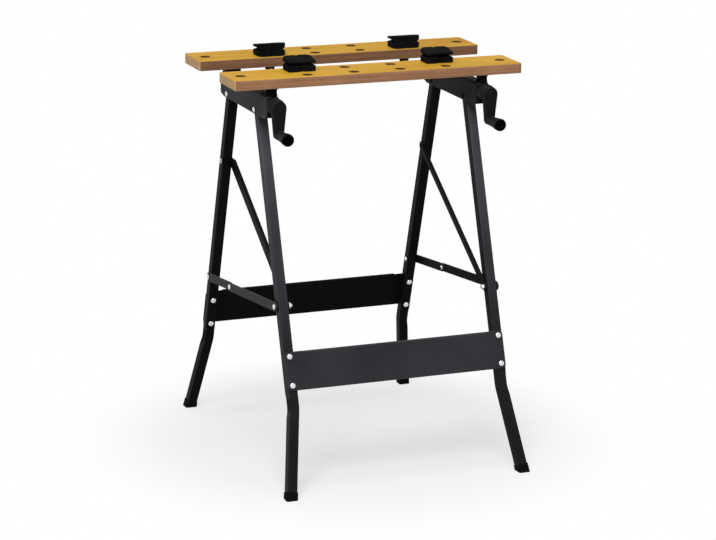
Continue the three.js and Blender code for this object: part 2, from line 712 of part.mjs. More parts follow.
function leg(side, frame, tilt, pinDrops, crossbarDrop) {
  const across = [side * (LEG_INNER_X - CUT_PAST), side * (LEG_OUTER_X + CUT_PAST)];
  const through = [-LEG_SIZE / 2 - CUT_PAST, LEG_SIZE / 2 + CUT_PAST];
  const hole = PIN_DIAMETER + 2 * GAP;
  return cut(
    bentBar(side, tilt, LEG_SIZE, 0),
    bentBar(side, tilt, LEG_SIZE - 2 * LEG_WALL, CUT_PAST),
    belowHeight(frame, CAP_FLOOR + GAP),
    ...pinDrops.map((drop) => rodAlongX(hole, across, 0, -drop, 12)),
    ...CROSSBAR_BOLT_INSETS.map((inset) => (
      rodAlongY(hole, side * SIDE_X, through, -crossbarDrop - inset, 12)
    )),
  );
}

// Foot cap: a square cup over the leg's end, cut level with the floor
function footCap(side, frame, tilt) {
  const { bend, floor } = legRun(tilt);
  const run = floor - bend;
  const bottom = run + LEG_SIZE * 2;
  const cup = lowerBar(side, tilt, LEG_SIZE + 2 * CAP_WALL, run - CAP_HEIGHT, bottom);
  const inside = lowerBar(side, tilt, LEG_SIZE + 2 * GAP, run - CAP_HEIGHT - LEG_SIZE, bottom + CUT_PAST);
  const socket = cut(inside, belowHeight(frame, CAP_FLOOR));
  return cut(cup, belowHeight(frame, 0), socket);
}

// Upright plate of a crossbar between two places along Y, with round corners about its bolts
function crossbarPlate(near, far, drop) {
  const outline = roundedOutline(LEG_OUTER_X, CROSSBAR_HEIGHT / 2, CROSSBAR_CORNER);
  const plate = new THREE.ExtrudeGeometry(outline, {
    depth: Math.abs(far - near), bevelEnabled: false, curveSegments: 4,
  });
  return plate.rotateX(Math.PI / 2).translate(0, Math.max(near, far), -drop - CROSSBAR_HEIGHT / 2);
}

// Sheet crossbar on the outer faces of a pair of legs, with a flange turned to the rear along its top.
// outward is -1 where the bar is on the legs' front and 1 where it is on their rear.
function crossbar(outward, drop, flange) {
  const face = LEG_SIZE / 2 + GAP;
  const near = outward * face;
  const far = outward * (face + SHEET);
  const plate = crossbarPlate(near, far, drop);
  const front = Math.min(near, far);
  const lip = boxBetween([-FLANGE_HALF, FLANGE_HALF], [front, front + flange], [-drop, -drop - SHEET]);
  const holes = [];
  for (const inset of CROSSBAR_BOLT_INSETS) {
    for (const [, side] of SIDES) {
      const through = [near - outward * CUT_PAST, far + outward * CUT_PAST];
      holes.push(rodAlongY(PIN_DIAMETER + 2 * GAP, side * SIDE_X, through, -drop - inset, 12));
    }
  }
  return cut(join(plate, lip), ...holes);
}

// Round tool holes along the middle of the front crossbar's flange
function toolHoles() {
  const y = -LEG_SIZE / 2 - GAP - SHEET + TOOL_FLANGE / 2 + SHEET / 2;
  const limits = [-FRONT_CROSSBAR_DROP - SHEET - CUT_PAST, -FRONT_CROSSBAR_DROP + CUT_PAST];
  const holes = [];
  for (let index = 0; index < TOOL_HOLE_COUNT; index += 1) {
    const x = (index - (TOOL_HOLE_COUNT - 1) / 2) * TOOL_HOLE_PITCH;
    holes.push(rodAlongZ(TOOL_HOLE, x, y, limits, 16));
  }
  return holes;
}

function addCrossbarBolts(frame, row, drop, low, high) {
  const heights = ['upper', 'lower'];
  CROSSBAR_BOLT_INSETS.forEach((inset, index) => {
    for (const [word, side] of SIDES) {
      const name = `${row}_crossbar_bolt_${heights[index]}_${word}`;
      const bolt = addPiece(frame, name, crossbarBolt(low, high), 'zinc');
      bolt.position.set(side * SIDE_X, 0, -drop - inset);
    }
  });
}

function addPin(frame, name, side, drop, inner, outer, tailHeight) {
  const pin = addPiece(frame, name, sidePin(side, inner, outer, tailHeight), 'zinc');
  pin.position.set(0, 0, -drop);
}

// Ring between the front leg and the front stay, as thick as the rear stay beside it
function stayWasher(side) {
  const limits = [side * REAR_STAY_X, side * (REAR_STAY_X + STAY_SHEET)];
  const bore = [limits[0] - side * CUT_PAST, limits[1] + side * CUT_PAST];
  return cut(
    rodAlongX(WASHER_DIAMETER, limits, 0, -STRUT_LOWER, 18),
    rodAlongX(PIN_DIAMETER + 2 * GAP, bore, 0, -STRUT_LOWER, 12),
  );
}

function addLegs(row, frame, tilt, pinDrops, crossbarDrop) {
  for (const [word, side] of SIDES) {
    addPiece(frame, `${row}_leg_${word}`, leg(side, frame, tilt, pinDrops, crossbarDrop), 'blackSteel');
    addPiece(frame, `${row}_foot_${word}`, footCap(side, frame, tilt), 'blackPlastic');
    const inner = SIDE_X - CHANNEL_WIDTH / 2;
    const outer = SIDE_X + CHANNEL_WIDTH / 2;
    addPin(frame, `${row}_leg_pin_${word}`, side, 0, inner, outer, PIN_TAIL_HEIGHT);
  }
}

function addFrontLegs() {
  const frame = legFrame(FRONT_PIVOT_Y, -FRONT_TILT);
  addLegs('front', frame, FRONT_TILT, [0, STRUT_LOWER], FRONT_CROSSBAR_DROP);
  const bar = cut(crossbar(-1, FRONT_CROSSBAR_DROP, TOOL_FLANGE), ...toolHoles());
  addPiece(frame, 'front_crossbar', bar, 'blackSteel');
  addCrossbarBolts(frame, 'front', FRONT_CROSSBAR_DROP, -LEG_SIZE / 2 - GAP - SHEET, LEG_SIZE / 2);
  for (const [word, side] of SIDES) {
    const outer = FRONT_STAY_X + STAY_SHEET;
    addPin(frame, `front_stay_pin_${word}`, side, STRUT_LOWER, LEG_INNER_X + GAP, outer, 0);
    addPiece(frame, `stay_washer_${word}`, stayWasher(side), 'blackPlastic');
  }
  return frame;
}

function addRearLegs() {
  const frame = legFrame(REAR_PIVOT_Y, REAR_TILT);
  addLegs('rear', frame, REAR_TILT, [0, STRUT_UPPER, STAY_UPPER], REAR_CROSSBAR_DROP);
  addPiece(frame, 'rear_crossbar', crossbar(1, REAR_CROSSBAR_DROP, REAR_FLANGE), 'blackSteel');
  addCrossbarBolts(frame, 'rear', REAR_CROSSBAR_DROP, -LEG_SIZE / 2, LEG_SIZE / 2 + GAP + SHEET);
  for (const [word, side] of SIDES) {
    const strutInner = STRUT_X - SHEET;
    addPin(frame, `strut_pin_${word}`, side, STRUT_UPPER, strutInner, LEG_OUTER_X, PIN_TAIL_HEIGHT);
    const stayOuter = REAR_STAY_X + STAY_SHEET;
    addPin(frame, `rear_stay_pin_${word}`, side, STAY_UPPER, LEG_INNER_X, stayOuter, PIN_TAIL_HEIGHT);
  }
  return frame;
}

// Struts and stays: flat bars between the leg frames, in planes of their own beside the legs

// A point down a leg frame, in the bench's own side view
function placeDownLegs(frame, drop) {
  const point = new THREE.Vector3(0, 0, -drop).applyMatrix4(frame.matrix);
  return new THREE.Vector2(point.y, point.z);
}

// Flat bar with round ends from one pivot to another, with a hole at each end that takes a pin
function linkBar(from, to, width, faces, holeEnds) {
  const length = from.distanceTo(to);
  const outline = new THREE.Shape();
  outline.absarc(0, 0, width / 2, Math.PI / 2, 1.5 * Math.PI);
  outline.absarc(length, 0, width / 2, -Math.PI / 2, Math.PI / 2);
  for (const end of holeEnds) {
    outline.holes.push(new THREE.Path().absarc(end * length, 0, PIN_DIAMETER / 2 + GAP, 0, 2 * Math.PI));
  }
  return slabAlongX(outline, faces);
}

// Lays a bar that runs along +Y from its first pivot onto the line between two pivots
function layBar(geometry, from, to) {
  const angle = Math.atan2(to.y - from.y, to.x - from.x);
  return geometry.rotateX(angle).translate(0, from.x, from.y);
}

// Strut from the rear leg to the front leg: an angle whose upper edge is turned inwards, with the
// riveted-over end that bears on the front leg
function strut(side, from, to) {
  const outer = side * STRUT_X;
  const inner = side * (STRUT_X - SHEET);
  const length = from.distanceTo(to);
  const upper = -STRUT_WIDTH / 2;
  const flange = boxBetween(
    [outer, inner - side * STRUT_FLANGE],
    [STRUT_FLANGE_UPPER, length - STRUT_FLANGE_LOWER],
    [upper, upper + SHEET],
  );
  const rivet = rodAlongX(PIN_TAIL, [outer, inner - side * PIN_TAIL_HEIGHT], length, 0, 14);
  return layBar(join(linkBar(from, to, STRUT_WIDTH, [outer, inner], [0]), flange, rivet), from, to);
}

// Rear half of a stay, with the riveted-over end of the knee on its inner face
function rearStay(side, from, knee) {
  const inner = side * REAR_STAY_X;
  const outer = side * (REAR_STAY_X + STAY_SHEET);
  const length = from.distanceTo(knee);
  const rivet = rodAlongX(PIN_TAIL, [inner - side * PIN_TAIL_HEIGHT, outer], length, 0, 14);
  return layBar(join(linkBar(from, knee, STAY_WIDTH, [inner, outer], [0]), rivet), from, knee);
}

function frontStay(side, from, knee) {
  const faces = [side * FRONT_STAY_X, side * (FRONT_STAY_X + STAY_SHEET)];
  return layBar(linkBar(from, knee, STAY_WIDTH, faces, [0, 1]), from, knee);
}

function addLinks(front, rear) {
  const strutTop = placeDownLegs(rear, STRUT_UPPER);
  const frontPivot = placeDownLegs(front, STRUT_LOWER);
  const rearPivot = placeDownLegs(rear, STAY_UPPER);
  const share = REAR_STAY_LENGTH / rearPivot.distanceTo(frontPivot);
  const knee = rearPivot.clone().lerp(frontPivot, share);
  for (const [word, side] of SIDES) {
    addPiece(bench, `strut_${word}`, strut(side, strutTop, frontPivot), 'blackSteel');
    addPiece(bench, `rear_stay_${word}`, rearStay(side, rearPivot, knee), 'blackSteel');
    addPiece(bench, `front_stay_${word}`, frontStay(side, frontPivot, knee), 'blackSteel');
    const rivet = sidePin(side, FRONT_STAY_X + GAP, FRONT_STAY_X + STAY_SHEET, 0);
    addPiece(bench, `knee_rivet_${word}`, rivet, 'zinc').position.set(0, knee.x, knee.y);
  }
}

addJaws();
addChannels();
addDrives();
addDogs();
addLinks(addFrontLegs(), addRearLegs());

export default bench;
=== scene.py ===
"""Looks of the folding workbench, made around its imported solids.

Lengths are in millimetres in the bench's own frame, +Z up, +X to the right and -Y towards the
cranks. They become metres where a mesh is made.
"""

import math

import bmesh
import bpy
import numpy as np
from mathutils import Matrix, Vector


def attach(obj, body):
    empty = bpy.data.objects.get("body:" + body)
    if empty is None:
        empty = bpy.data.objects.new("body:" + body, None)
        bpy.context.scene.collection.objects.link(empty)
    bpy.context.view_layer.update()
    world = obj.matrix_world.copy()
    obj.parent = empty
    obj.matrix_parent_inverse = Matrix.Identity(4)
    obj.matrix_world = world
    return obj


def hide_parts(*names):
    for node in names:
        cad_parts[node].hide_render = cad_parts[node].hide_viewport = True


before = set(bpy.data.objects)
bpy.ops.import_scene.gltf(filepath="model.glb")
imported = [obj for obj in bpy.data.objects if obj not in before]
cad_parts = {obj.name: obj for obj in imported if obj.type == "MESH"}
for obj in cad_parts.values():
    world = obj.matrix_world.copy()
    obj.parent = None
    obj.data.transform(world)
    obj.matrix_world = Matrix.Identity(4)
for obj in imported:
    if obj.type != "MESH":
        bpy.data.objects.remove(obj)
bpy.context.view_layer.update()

MM = 0.001
SIDES = (("left", -1), ("right", 1))

# Room between pieces that meet, and how far the normals of faces that look one way point along it
GAP = 0.3
FACING, GRIP_FACING = 0.72, 0.5

# Jaws
TOP = 794.0
JAW_HALF_LENGTH, JAW_HALF_WIDTH, JAW_UNDERSIDE = 302.5, 49.0, 774.5
JAW_CORNER, JAW_ROUND, JAW_BAND = 5.0, 0.9, 1.5
FRONT_JAW_Y, REAR_JAW_Y = -89.0, 123.0
HOLE_RADIUS, HOLE_ROUND = 10.0, 0.7
HOLE_PITCH, ROW_Y, END_HOLE_X, END_CELL_X = 97.5, 25.5, 275.0, 250.0

# Channels, spindles and cranks
SIDE_X = 222.5
CHANNEL_HALF, CHANNEL_FRONT, CHANNEL_REAR = 12.6, -130.0, 143.0
CHANNEL_LOW, CHANNEL_TOP, CHANNEL_CORNER, CHANNEL_BEND = 711.2, 757.5, 5.0, 4.0
CHANNEL_END, CHANNEL_END_RISE = 20.0, 5.0
SLOT_FRONT, SLOT_REAR, SLOT_HALF = -8.1, 117.6, 6.6
SHEET = 2.0
JAW_BOLT_Y = -120.0
SPINDLE_Z, SPINDLE_RADIUS, SPINDLE_TIP, SPINDLE_FRONT, SPINDLE_REAR = 741.2, 4.98, 3.6, -150.6, 139.0
THREAD_FRONT, THREAD_REAR, THREAD_LEAD, THREAD_DEPTH = -120.0, 138.0, 5.0, 1.1
THREAD_ROOT, THREAD_FLANK, THREAD_RUN_OUT = 0.16, 0.14, 4.0
ARM_BACK, ARM_FRONT, ARM_ROUND = -154.6, -166.6, 2.6
ARM_HUB, ARM_TIP, THROW = 15.0, 10.0, 52.0
PANEL_INSET, PANEL_DEPTH = 3.8, 0.2
KNOB_FLUTES, FLUTE_DEPTH, FLUTE_START, FLUTE_END = 12, 0.045, 14.0, 47.5

# Legs, crossbars, struts and stays
PIVOT_Z = 719.2
FRONT_PIVOT_Y, REAR_PIVOT_Y = -57.0, 106.0
FOOT_X, FOOT_Y = 247.5, 309.25
BEND_HEIGHT, BEND_RADIUS = 165.0, 90.0
LEG_HALF, LEG_ROUND, LEG_OVER_PIVOT = 10.0, 1.5, 6.0
TUBE_BORE, TUBE_DEPTH, TUBE_OVER_FLOOR = 0.85, 12.0, 9.5
PRESS_DEPTH, PRESS_HALF, PRESS_RISE, PRESS_BULGE = 6.5, 27.0, 6.0, 0.65
CAP_HALF, CAP_ROUND, CAP_HEIGHT = 11.8, 3.6, 14.0
BAR_HEIGHT, BAR_CORNER, BAR_BEND, FLANGE_HALF = 76.0, 8.0, 3.0, 195.5
FRONT_BAR_DROP, REAR_BAR_DROP = 478.0, 470.5
BOLT_INSETS = (("upper", 9.5), ("lower", 66.0))
TOOL_HOLE, TOOL_PITCH, TOOL_COUNT = 9.0, 48.0, 7
TOOL_FLANGE, REAR_FLANGE = 28.0, 5.0
STRUT_X, STAY_REAR_X, STAY_FRONT_X = 212.2, 232.8, 235.6
STRUT_UPPER, STRUT_LOWER, STAY_UPPER = 153.0, 387.5, 427.0
STRUT_HALF, STRUT_NUT, STRUT_NUT_HEIGHT = 10.0, 5.0, 5.0
LIP, LIP_START, LIP_SHORT, LIP_FADE = 5.0, 4.0, 60.0, 6.0
STAY_HALF, STAY_SHEET, REAR_STAY_LENGTH = 9.0, 2.5, 145.0
BOLT_NUT, BOLT_NUT_HEIGHT, SHANK = 4.35, 4.4, 3.0

# Bench dogs
DOG_HALF, DOG_FACE, DOG_FACE_HALF, DOG_BEVEL = 29.0, 16.0, 22.0, 7.0
DOG_TOP_BACK, DOG_BACK, DOG_WAIST = 23.5, 24.0, 15.5
DOG_FOOT_CORNER, DOG_TOP_CORNER, DOG_NOTCH_HALF, DOG_NOTCH_DEPTH = 5.0, 3.0, 8.0, 4.0
DOG_GROOVE, DOG_GROOVE_HALF, DOG_GROOVE_DEPTH = 13.7, 3.5, 8.0
DOG_RIM, DOG_TOP, DOG_FALL, DOG_FOOT_BEVEL = 17.2, 27.0, 0.1645, 2.5
DOG_SPINE_Y, DOG_SPINE_HALF = -4.0, 20.0
FACE_NOTCH, RIDGE_DEPTH, RIDGE_PITCH, RIDGE_START, RIDGE_END = 4.0, 0.4, 4.4, 5.5, 20.5
RIB_HALF, RIB_MIDDLE, RIB_REACH, RIB_HIGH = 1.25, -16.0, 5.9, 13.4
STEM_OUTER, STEM_INNER, STEM_LOW, STEM_SPREAD = 9.5, 6.5, -29.2, 1.36

# Camera, light and floor, with places in metres
CAMERA_AHEAD, CAMERA_PLACE = (0.36282, 0.89426, -0.26205), (-1.9768, -4.9008, 1.7942)
CAMERA_ROLL, CAMERA_LENS, CAMERA_SENSOR = 0.812, 135.09, 36.0
AMBIENT = 0.16
FLOOR_REACH, FLOOR_Z = 6.0, -0.0006
SHADOW, SHADOW_NEAR, SHADOW_FAR = 0.45, 0.28, 0.62


# Surfaces

class Skin:
    """The grids of points that cover one piece, with a value from 0 to 1 for how near an edge is."""

    def __init__(self):
        self.points, self.edges, self.faces, self.count = [], [], [], 0

    def grid(self, points, edge=0.0, ring=True):
        """Adds a grid of shape (rows, columns, 3). The edge value is one for all, one a row or one a
        point, and ring joins the last column to the first."""
        points, edge = np.asarray(points, float), np.asarray(edge, float)
        rows, columns = points.shape[:2]
        i = np.arange(rows - 1)[:, None]
        j = np.arange(columns if ring else columns - 1)[None, :]
        k = (j + 1) % columns
        corners = (i * columns + j, i * columns + k, (i + 1) * columns + k, (i + 1) * columns + j)
        quads = join(*corners).reshape(-1, 4)
        edge = edge[:, None] if edge.ndim == 1 else edge
        self.points.append(points.reshape(-1, 3))
        self.edges.append(np.broadcast_to(edge, (rows, columns)).ravel())
        self.faces.append(quads + self.count)
        self.count += rows * columns
        return self


def add_object(name, data):
    """Puts a mesh, camera or lamp into the scene."""
    thing = bpy.data.objects.new(name, data)
    bpy.context.scene.collection.objects.link(thing)
    return thing


def make(name, skin, body, finishes, nodes, wall=0.0, offset=0.0, soften=0.0, crease=35, pick=None):
    """Makes a piece of a skin: joins its seams, turns its faces outwards and lets it ride on a body.

    pick takes the normals and the middles of the faces and gives the number of each face's finish.
    """
    mesh = bpy.data.meshes.new(name)
    mesh.from_pydata((np.concatenate(skin.points) * MM).tolist(), [], np.concatenate(skin.faces).tolist())
    mesh.attributes.new("edge", "FLOAT", "POINT").data.foreach_set("value", np.concatenate(skin.edges))
    shell = bmesh.new()
    shell.from_mesh(mesh)
    bmesh.ops.remove_doubles(shell, verts=shell.verts, dist=2e-6)
    bmesh.ops.dissolve_degenerate(shell, edges=shell.edges, dist=1e-7)
    bmesh.ops.recalc_face_normals(shell, faces=shell.faces)
    shell.to_mesh(mesh)
    shell.free()
    mesh.shade_smooth()
    mesh.set_sharp_from_angle(angle=math.radians(crease))
    for finish in finishes:
        mesh.materials.append(finish)
    if pick:
        normals = np.zeros((len(mesh.polygons), 3))
        middles = np.zeros_like(normals)
        mesh.polygons.foreach_get("normal", normals.ravel())
        mesh.polygons.foreach_get("center", middles.ravel())
        mesh.polygons.foreach_set("material_index", np.asarray(pick(normals, middles / MM), np.int32))
    piece = add_object(name, mesh)
    if wall:
        sheet = piece.modifiers.new("sheet", "SOLIDIFY")
        sheet.thickness, sheet.offset, sheet.use_even_offset = wall * MM, offset, True
    if soften:
        bevel = piece.modifiers.new("softened", "BEVEL")
        bevel.width, bevel.segments = soften * MM, 2
        bevel.limit_method, bevel.angle_limit = "ANGLE", math.radians(crease)
    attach(piece, body)
    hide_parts(*nodes)


def inner_faces(side):
    """Picks the second finish, the coat with painted shade, for the faces that look to the bench's middle."""
    return lambda normals, middles: normals[:, 0] * side < -FACING


def join(*parts):
    """Points of coordinates, each a number or an array."""
    return np.stack(np.broadcast_arrays(*parts), -1)


def unit(vectors):
    """Vectors brought to a length of 1."""
    return vectors / np.linalg.norm(vectors, axis=-1, keepdims=True)


def quarter(count):
    """Angles of a quarter circle."""
    return np.linspace(0, np.pi / 2, count)


def lift(flat, heights):
    """Points of flat (x, y) pairs and their heights."""
    return np.concatenate([flat, np.broadcast_to(heights, flat.shape[:-1])[..., None]], -1)


def cells(xs, ys):
    """Flat grid of (x, y) pairs, with a row for each x."""
    return np.stack(np.meshgrid(xs, ys, indexing="ij"), -1)


def border(xs, ys):
    """Points round a rectangle, anticlockwise from its lower left corner, at the given places."""
    flat = cells(xs, ys)
    return np.concatenate([flat[:-1, 0], flat[-1, :-1], flat[:0:-1, -1], flat[0, :0:-1]])


def pierced(outer, centre, radius, shares):
    """Rings from a round hole to an outline: each point lies a share of the way along a ray."""
    rim = centre + radius * unit(outer - centre)
    return rim + (outer - rim) * np.reshape(shares, (-1, 1, 1))


def lathe(skin, profile, origin, axis, turn=48, edge=0.0, swell=None):
    """Adds a turned surface: radius and height pairs carried round an axis from an origin. swell, a
    function of the angle and the height, multiplies the radius."""
    profile, axis = np.asarray(profile, float), unit(np.asarray(axis, float))
    across = unit(np.cross(axis, (0, 0, 1) if abs(axis[2]) < 0.9 else (1, 0, 0)))
    angle = np.linspace(0, 2 * np.pi, turn, endpoint=False)
    radius = profile[:, :1] * (swell(angle, profile[:, 1:]) if swell else np.ones(turn))
    ray = np.outer(np.cos(angle), np.cross(across, axis)) + np.outer(np.sin(angle), across)
    points = np.asarray(origin, float) + radius[..., None] * ray + profile[:, 1, None, None] * axis
    return skin.grid(points, edge)


def add_nut(skin, inner, height, origin, axis):
    """Adds a six-sided nut with its corners turned off. A hexagon's radius is the inner one over the
    cosine of the angle from the middle of the nearest flat."""
    shares = ((0, 0), (0.93, 0), (1, 0.14), (1, 0.86), (0.93, 1), (0.62, 1), (0.56, 0.9), (0, 0.9))

    def six_sided(angle, _):
        return 1 / np.cos((angle + np.pi / 6) % (np.pi / 3) - np.pi / 6)

    return lathe(skin, np.array(shares) * [inner, height], origin, axis, 36, swell=six_sided)


def square_profile(half, rounding, flat=1.5, steps=0):
    """Square with round corners, with a point a little way along each flat, and more steps between
    these where they are asked for; edge is 1 at the corners."""
    turn = quarter(5)
    inner = half - rounding
    corner = inner + rounding * join(np.cos(turn), np.sin(turn))
    level = np.linspace(inner - flat, flat - inner, steps + 2)[:-1]
    side = np.concatenate([[[half, inner - flat]], corner, join(level, half)])
    spins = [np.array([[np.cos(a), np.sin(a)], [-np.sin(a), np.cos(a)]]) for a in np.arange(4) * np.pi / 2]
    edge = np.tile(np.concatenate([[0], np.ones(5), np.zeros(steps + 1)]), 4)
    return np.concatenate([side @ spin for spin in spins]), edge


# Finishes

class Shade:
    """One value in a finish's nodes; sums, differences, products and powers of it add Math nodes."""

    def __init__(self, finish, socket):
        self.finish, self.socket = finish, socket

    def reckon(self, operation, first, second):
        return self.finish.node("ShaderNodeMath", {"operation": operation}, {0: first, 1: second})

    def __add__(self, other):
        return self.reckon("ADD", self, other)

    def __radd__(self, other):
        return self.reckon("ADD", other, self)

    def __sub__(self, other):
        return self.reckon("SUBTRACT", self, other)

    def __rsub__(self, other):
        return self.reckon("SUBTRACT", other, self)

    def __mul__(self, other):
        return self.reckon("MULTIPLY", self, other)

    def __rmul__(self, other):
        return self.reckon("MULTIPLY", other, self)

    def __pow__(self, other):
        return self.reckon("POWER", self, other)


class Nodes:
    """A node tree that is being made."""

    def __init__(self, tree):
        self.tree = tree

    def feed(self, socket, value):
        """Links a shade to a socket, or sets the socket to a number, colour or vector."""
        if isinstance(value, Shade):
            self.tree.links.new(value.socket, socket)
        else:
            socket.default_value = value

    def node(self, kind, settings=None, sockets=None, output=0):
        """Adds a node: its settings first, then the values or links of its sockets."""
        made = self.tree.nodes.new(kind)
        for key, value in (settings or {}).items():
            if key == "stops":
                ramp = made.color_ramp.elements
                while len(ramp) < len(value):
                    ramp.new(1.0)
                for stop, (place, colour) in zip(ramp, value):
                    stop.position, stop.color = place, (*colour, 1.0)
            else:
                setattr(made, key, value)
        for key, value in (sockets or {}).items():
            found = made.inputs[key] if isinstance(key, int) else [
                s for s in made.inputs if s.name == key and s.enabled][0]
            self.feed(found, value)
        outputs = [s for s in made.outputs if s.enabled]
        return Shade(self, outputs[output] if isinstance(output, int) else made.outputs[output])

    def spot(self):
        """Place in the piece's own coordinates, in metres."""
        return self.node("ShaderNodeTexCoord", output="Object")


class Finish(Nodes):
    """A material made of nodes around one Principled surface."""

    def __init__(self, name, roughness=0.5, metallic=0.0, specular=0.5):
        self.material = bpy.data.materials.new(name)
        self.material.use_nodes = True
        super().__init__(self.material.node_tree)
        self.surface = self.tree.nodes["Principled BSDF"]
        self.set(**{"Roughness": roughness, "Metallic": metallic, "Specular IOR Level": specular})

    def set(self, **values):
        """Feeds inputs of the surface by their names."""
        for key, value in values.items():
            self.feed(self.surface.inputs[key], value)

    def noise(self, scale, detail=2.0, roughness=0.5, stretch=(1, 1, 1)):
        """Noise from 0 to 1 of so many waves a metre, stretched along each axis."""
        spots = self.node("ShaderNodeMapping", {"vector_type": "POINT"}, {
            "Vector": self.spot(), "Scale": tuple(scale * s for s in stretch)})
        return self.node("ShaderNodeTexNoise", {}, {
            "Vector": spots, "Scale": 1.0, "Detail": detail, "Roughness": roughness}, "Fac")

    def edge(self):
        """How near an edge is, from 0 to 1."""
        return self.node("ShaderNodeAttribute", {"attribute_name": "edge"}, {}, "Fac")

    def ramp(self, value, stops):
        """Colour by value."""
        return self.node("ShaderNodeValToRGB", {"stops": stops}, {"Fac": value}, "Color")

    def between(self, value, low, high):
        """Smooth step of a value from 0 at low to 1 at high."""
        return self.node("ShaderNodeMapRange", {"interpolation_type": "SMOOTHSTEP"}, {
            "Value": value, "From Min": low, "From Max": high})

    def mix(self, share, first, second, blend="MIX"):
        """Colour between two colours."""
        return self.node("ShaderNodeMix", {"data_type": "RGBA", "blend_type": blend}, {
            "Factor": share, "A": first, "B": second})

    def times(self, colour, factor):
        """Colour multiplied by another colour."""
        return self.mix(1.0, colour, factor, "MULTIPLY")

    def bump(self, height, depth):
        """Feeds a height pattern of so many metres to the surface's normal."""
        made = self.node("ShaderNodeBump", {}, {"Height": height, "Distance": depth, "Strength": 1.0})
        self.set(Normal=made)

    def coat(self, colour, roughness):
        """Feeds the surface's colour and roughness."""
        self.set(**{"Base Color": colour, "Roughness": roughness})


def rgba(red, green, blue):
    return (red, green, blue, 1.0)


def jaw_face_finish():
    """Varnished golden wood: long grain along X in a few widths, with darker rims at the holes."""
    finish = Finish("jaw face", specular=0.02)
    broad = finish.noise(7, 2.0, 0.5, (0.35, 2.2, 1))
    grain = finish.noise(60, 5.0, 0.65, (0.08, 4.0, 1))
    pores = finish.noise(260, 2.0, 0.5, (0.06, 5.0, 1))
    wood = finish.ramp(broad * 0.45 + grain * 0.4 + pores * 0.15, [
        (0.38, (0.492, 0.242, 0.018)), (0.47, (0.608, 0.326, 0.028)),
        (0.53, (0.671, 0.375, 0.038)), (0.62, (0.756, 0.446, 0.062))])
    rim = finish.edge() * 0.35
    finish.coat(finish.mix(rim, wood, rgba(0.36, 0.17, 0.04)), 0.42 + grain * 0.16)
    finish.bump(grain * 0.7 + pores * 0.3, 0.00012)
    return finish.material


def jaw_side_finish(name, shade):
    """Board sawn along: brown fibres in fine flecks, a little darker in thin layers. The shade factor
    multiplies the colour: it sets the sides' own tone, and in the copies for the clamping edge and the holes
    it paints shade.
    """
    finish = Finish(name, specular=0.1)
    layers = finish.noise(90, 1.0, 0.4, (0.05, 0.05, 4.0))
    flecks = finish.noise(900, 3.0, 0.6, (0.35, 0.35, 1.4))
    wide = finish.noise(14, 2.0)
    board = finish.ramp(layers * 0.3 + flecks * 0.5 + wide * 0.2, [
        (0.36, (0.260, 0.122, 0.062)), (0.50, (0.390, 0.192, 0.098)), (0.64, (0.50, 0.268, 0.142))])
    worn = finish.mix(finish.edge() * 0.35, board, rgba(0.52, 0.30, 0.16))
    finish.coat(finish.times(worn, rgba(shade, shade, shade)), 0.62 + flecks * 0.2)
    finish.bump(flecks * 0.7 + layers * 0.3, 0.0002)
    return finish.material


def jaw_end_finish():
    """End grain of the boards: open pores in upright streaks, a little browner in layers, with colours
    painted far paler than the sides as painted light from the left.
    """
    finish = Finish("jaw end", specular=0.1)
    pores = finish.noise(700, 3.0, 0.6, (1.0, 0.6, 1.6))
    streaks = finish.noise(120, 2.0, 0.5, (1.0, 2.5, 0.6))
    grain = finish.ramp(pores * 0.55 + streaks * 0.45, [
        (0.30, (0.80, 0.43, 0.210)), (0.50, (0.94, 0.60, 0.305)), (0.70, (0.97, 0.70, 0.40))])
    worn = finish.edge() * 0.35
    finish.coat(finish.mix(worn, grain, rgba(0.80, 0.50, 0.27)), 0.62 + pores * 0.2)
    finish.bump(pores, 0.0002)
    return finish.material


def powder_coat_finish(name, low, high, specular):
    """Satin black powder coat: a fine orange-peel skin and cloudy gloss, painted lighter with height as
    painted light from above, and greyer along edges, partly from wear and partly as a painted highlight. The
    two tones are those at the floor and at the jaws."""
    finish = Finish(name, specular=specular)
    cloud = finish.noise(9, 3.0)
    peel = finish.noise(700, 2.0, 0.5)
    dust = finish.between(finish.noise(240, 4.0, 0.7), 0.62, 0.80)
    height = finish.node("ShaderNodeSeparateXYZ", {}, {"Vector": finish.spot()}, "Z")
    # Painted light: the tone climbs from its floor value to its jaw value with the square of the height
    painted_height_light = finish.mix((height * (1000 / TOP)) ** 2, rgba(*low), rgba(*high))
    base = finish.times(painted_height_light, finish.ramp(cloud, [(0.35, (0.87,) * 3), (0.65, (1.13,) * 3)]))
    # Edges greyer partly as wear and partly as a painted highlight; dust greys at random
    worn = finish.edge() * (0.16 + cloud * 0.3) + dust * 0.12
    greyed = finish.mix(worn, base, finish.times(painted_height_light, rgba(1.9, 1.9, 1.9)))
    finish.coat(greyed, 0.36 + cloud * 0.16 + peel * 0.08)
    finish.bump(peel, 0.00006)
    return finish.material


def moulded_finish(name, dark, light, roughness, grain, specular):
    """Moulded black plastic: a fine leathered grain and faint flow marks, paler along edges."""
    finish = Finish(name, specular=specular)
    flow = finish.noise(24, 3.0, 0.6, (1.0, 1.0, 0.4))
    skin = finish.noise(grain, 2.0, 0.6)
    base = finish.ramp(flow, [(0.3, dark), (0.7, light)])
    worn = finish.edge() * (0.12 + flow * 0.25)
    finish.coat(finish.mix(worn, base, rgba(*(1.9 * part for part in light))), roughness + skin * 0.14)
    finish.bump(skin, 0.00010)
    return finish.material


def zinc_finish(name, bright, dull, roughness):
    """Bright zinc plate: cloudy silver with fine turned scratches and duller hollows."""
    finish = Finish(name, metallic=1.0)
    cloud = finish.noise(160, 3.0, 0.6)
    fine = finish.noise(1500, 2.0, 0.5)
    base = finish.ramp(cloud * 0.7 + fine * 0.3, [(0.3, dull), (0.7, bright)])
    finish.coat(base, roughness + cloud * 0.12 + fine * 0.06)
    finish.bump(fine, 0.00003)
    return finish.material


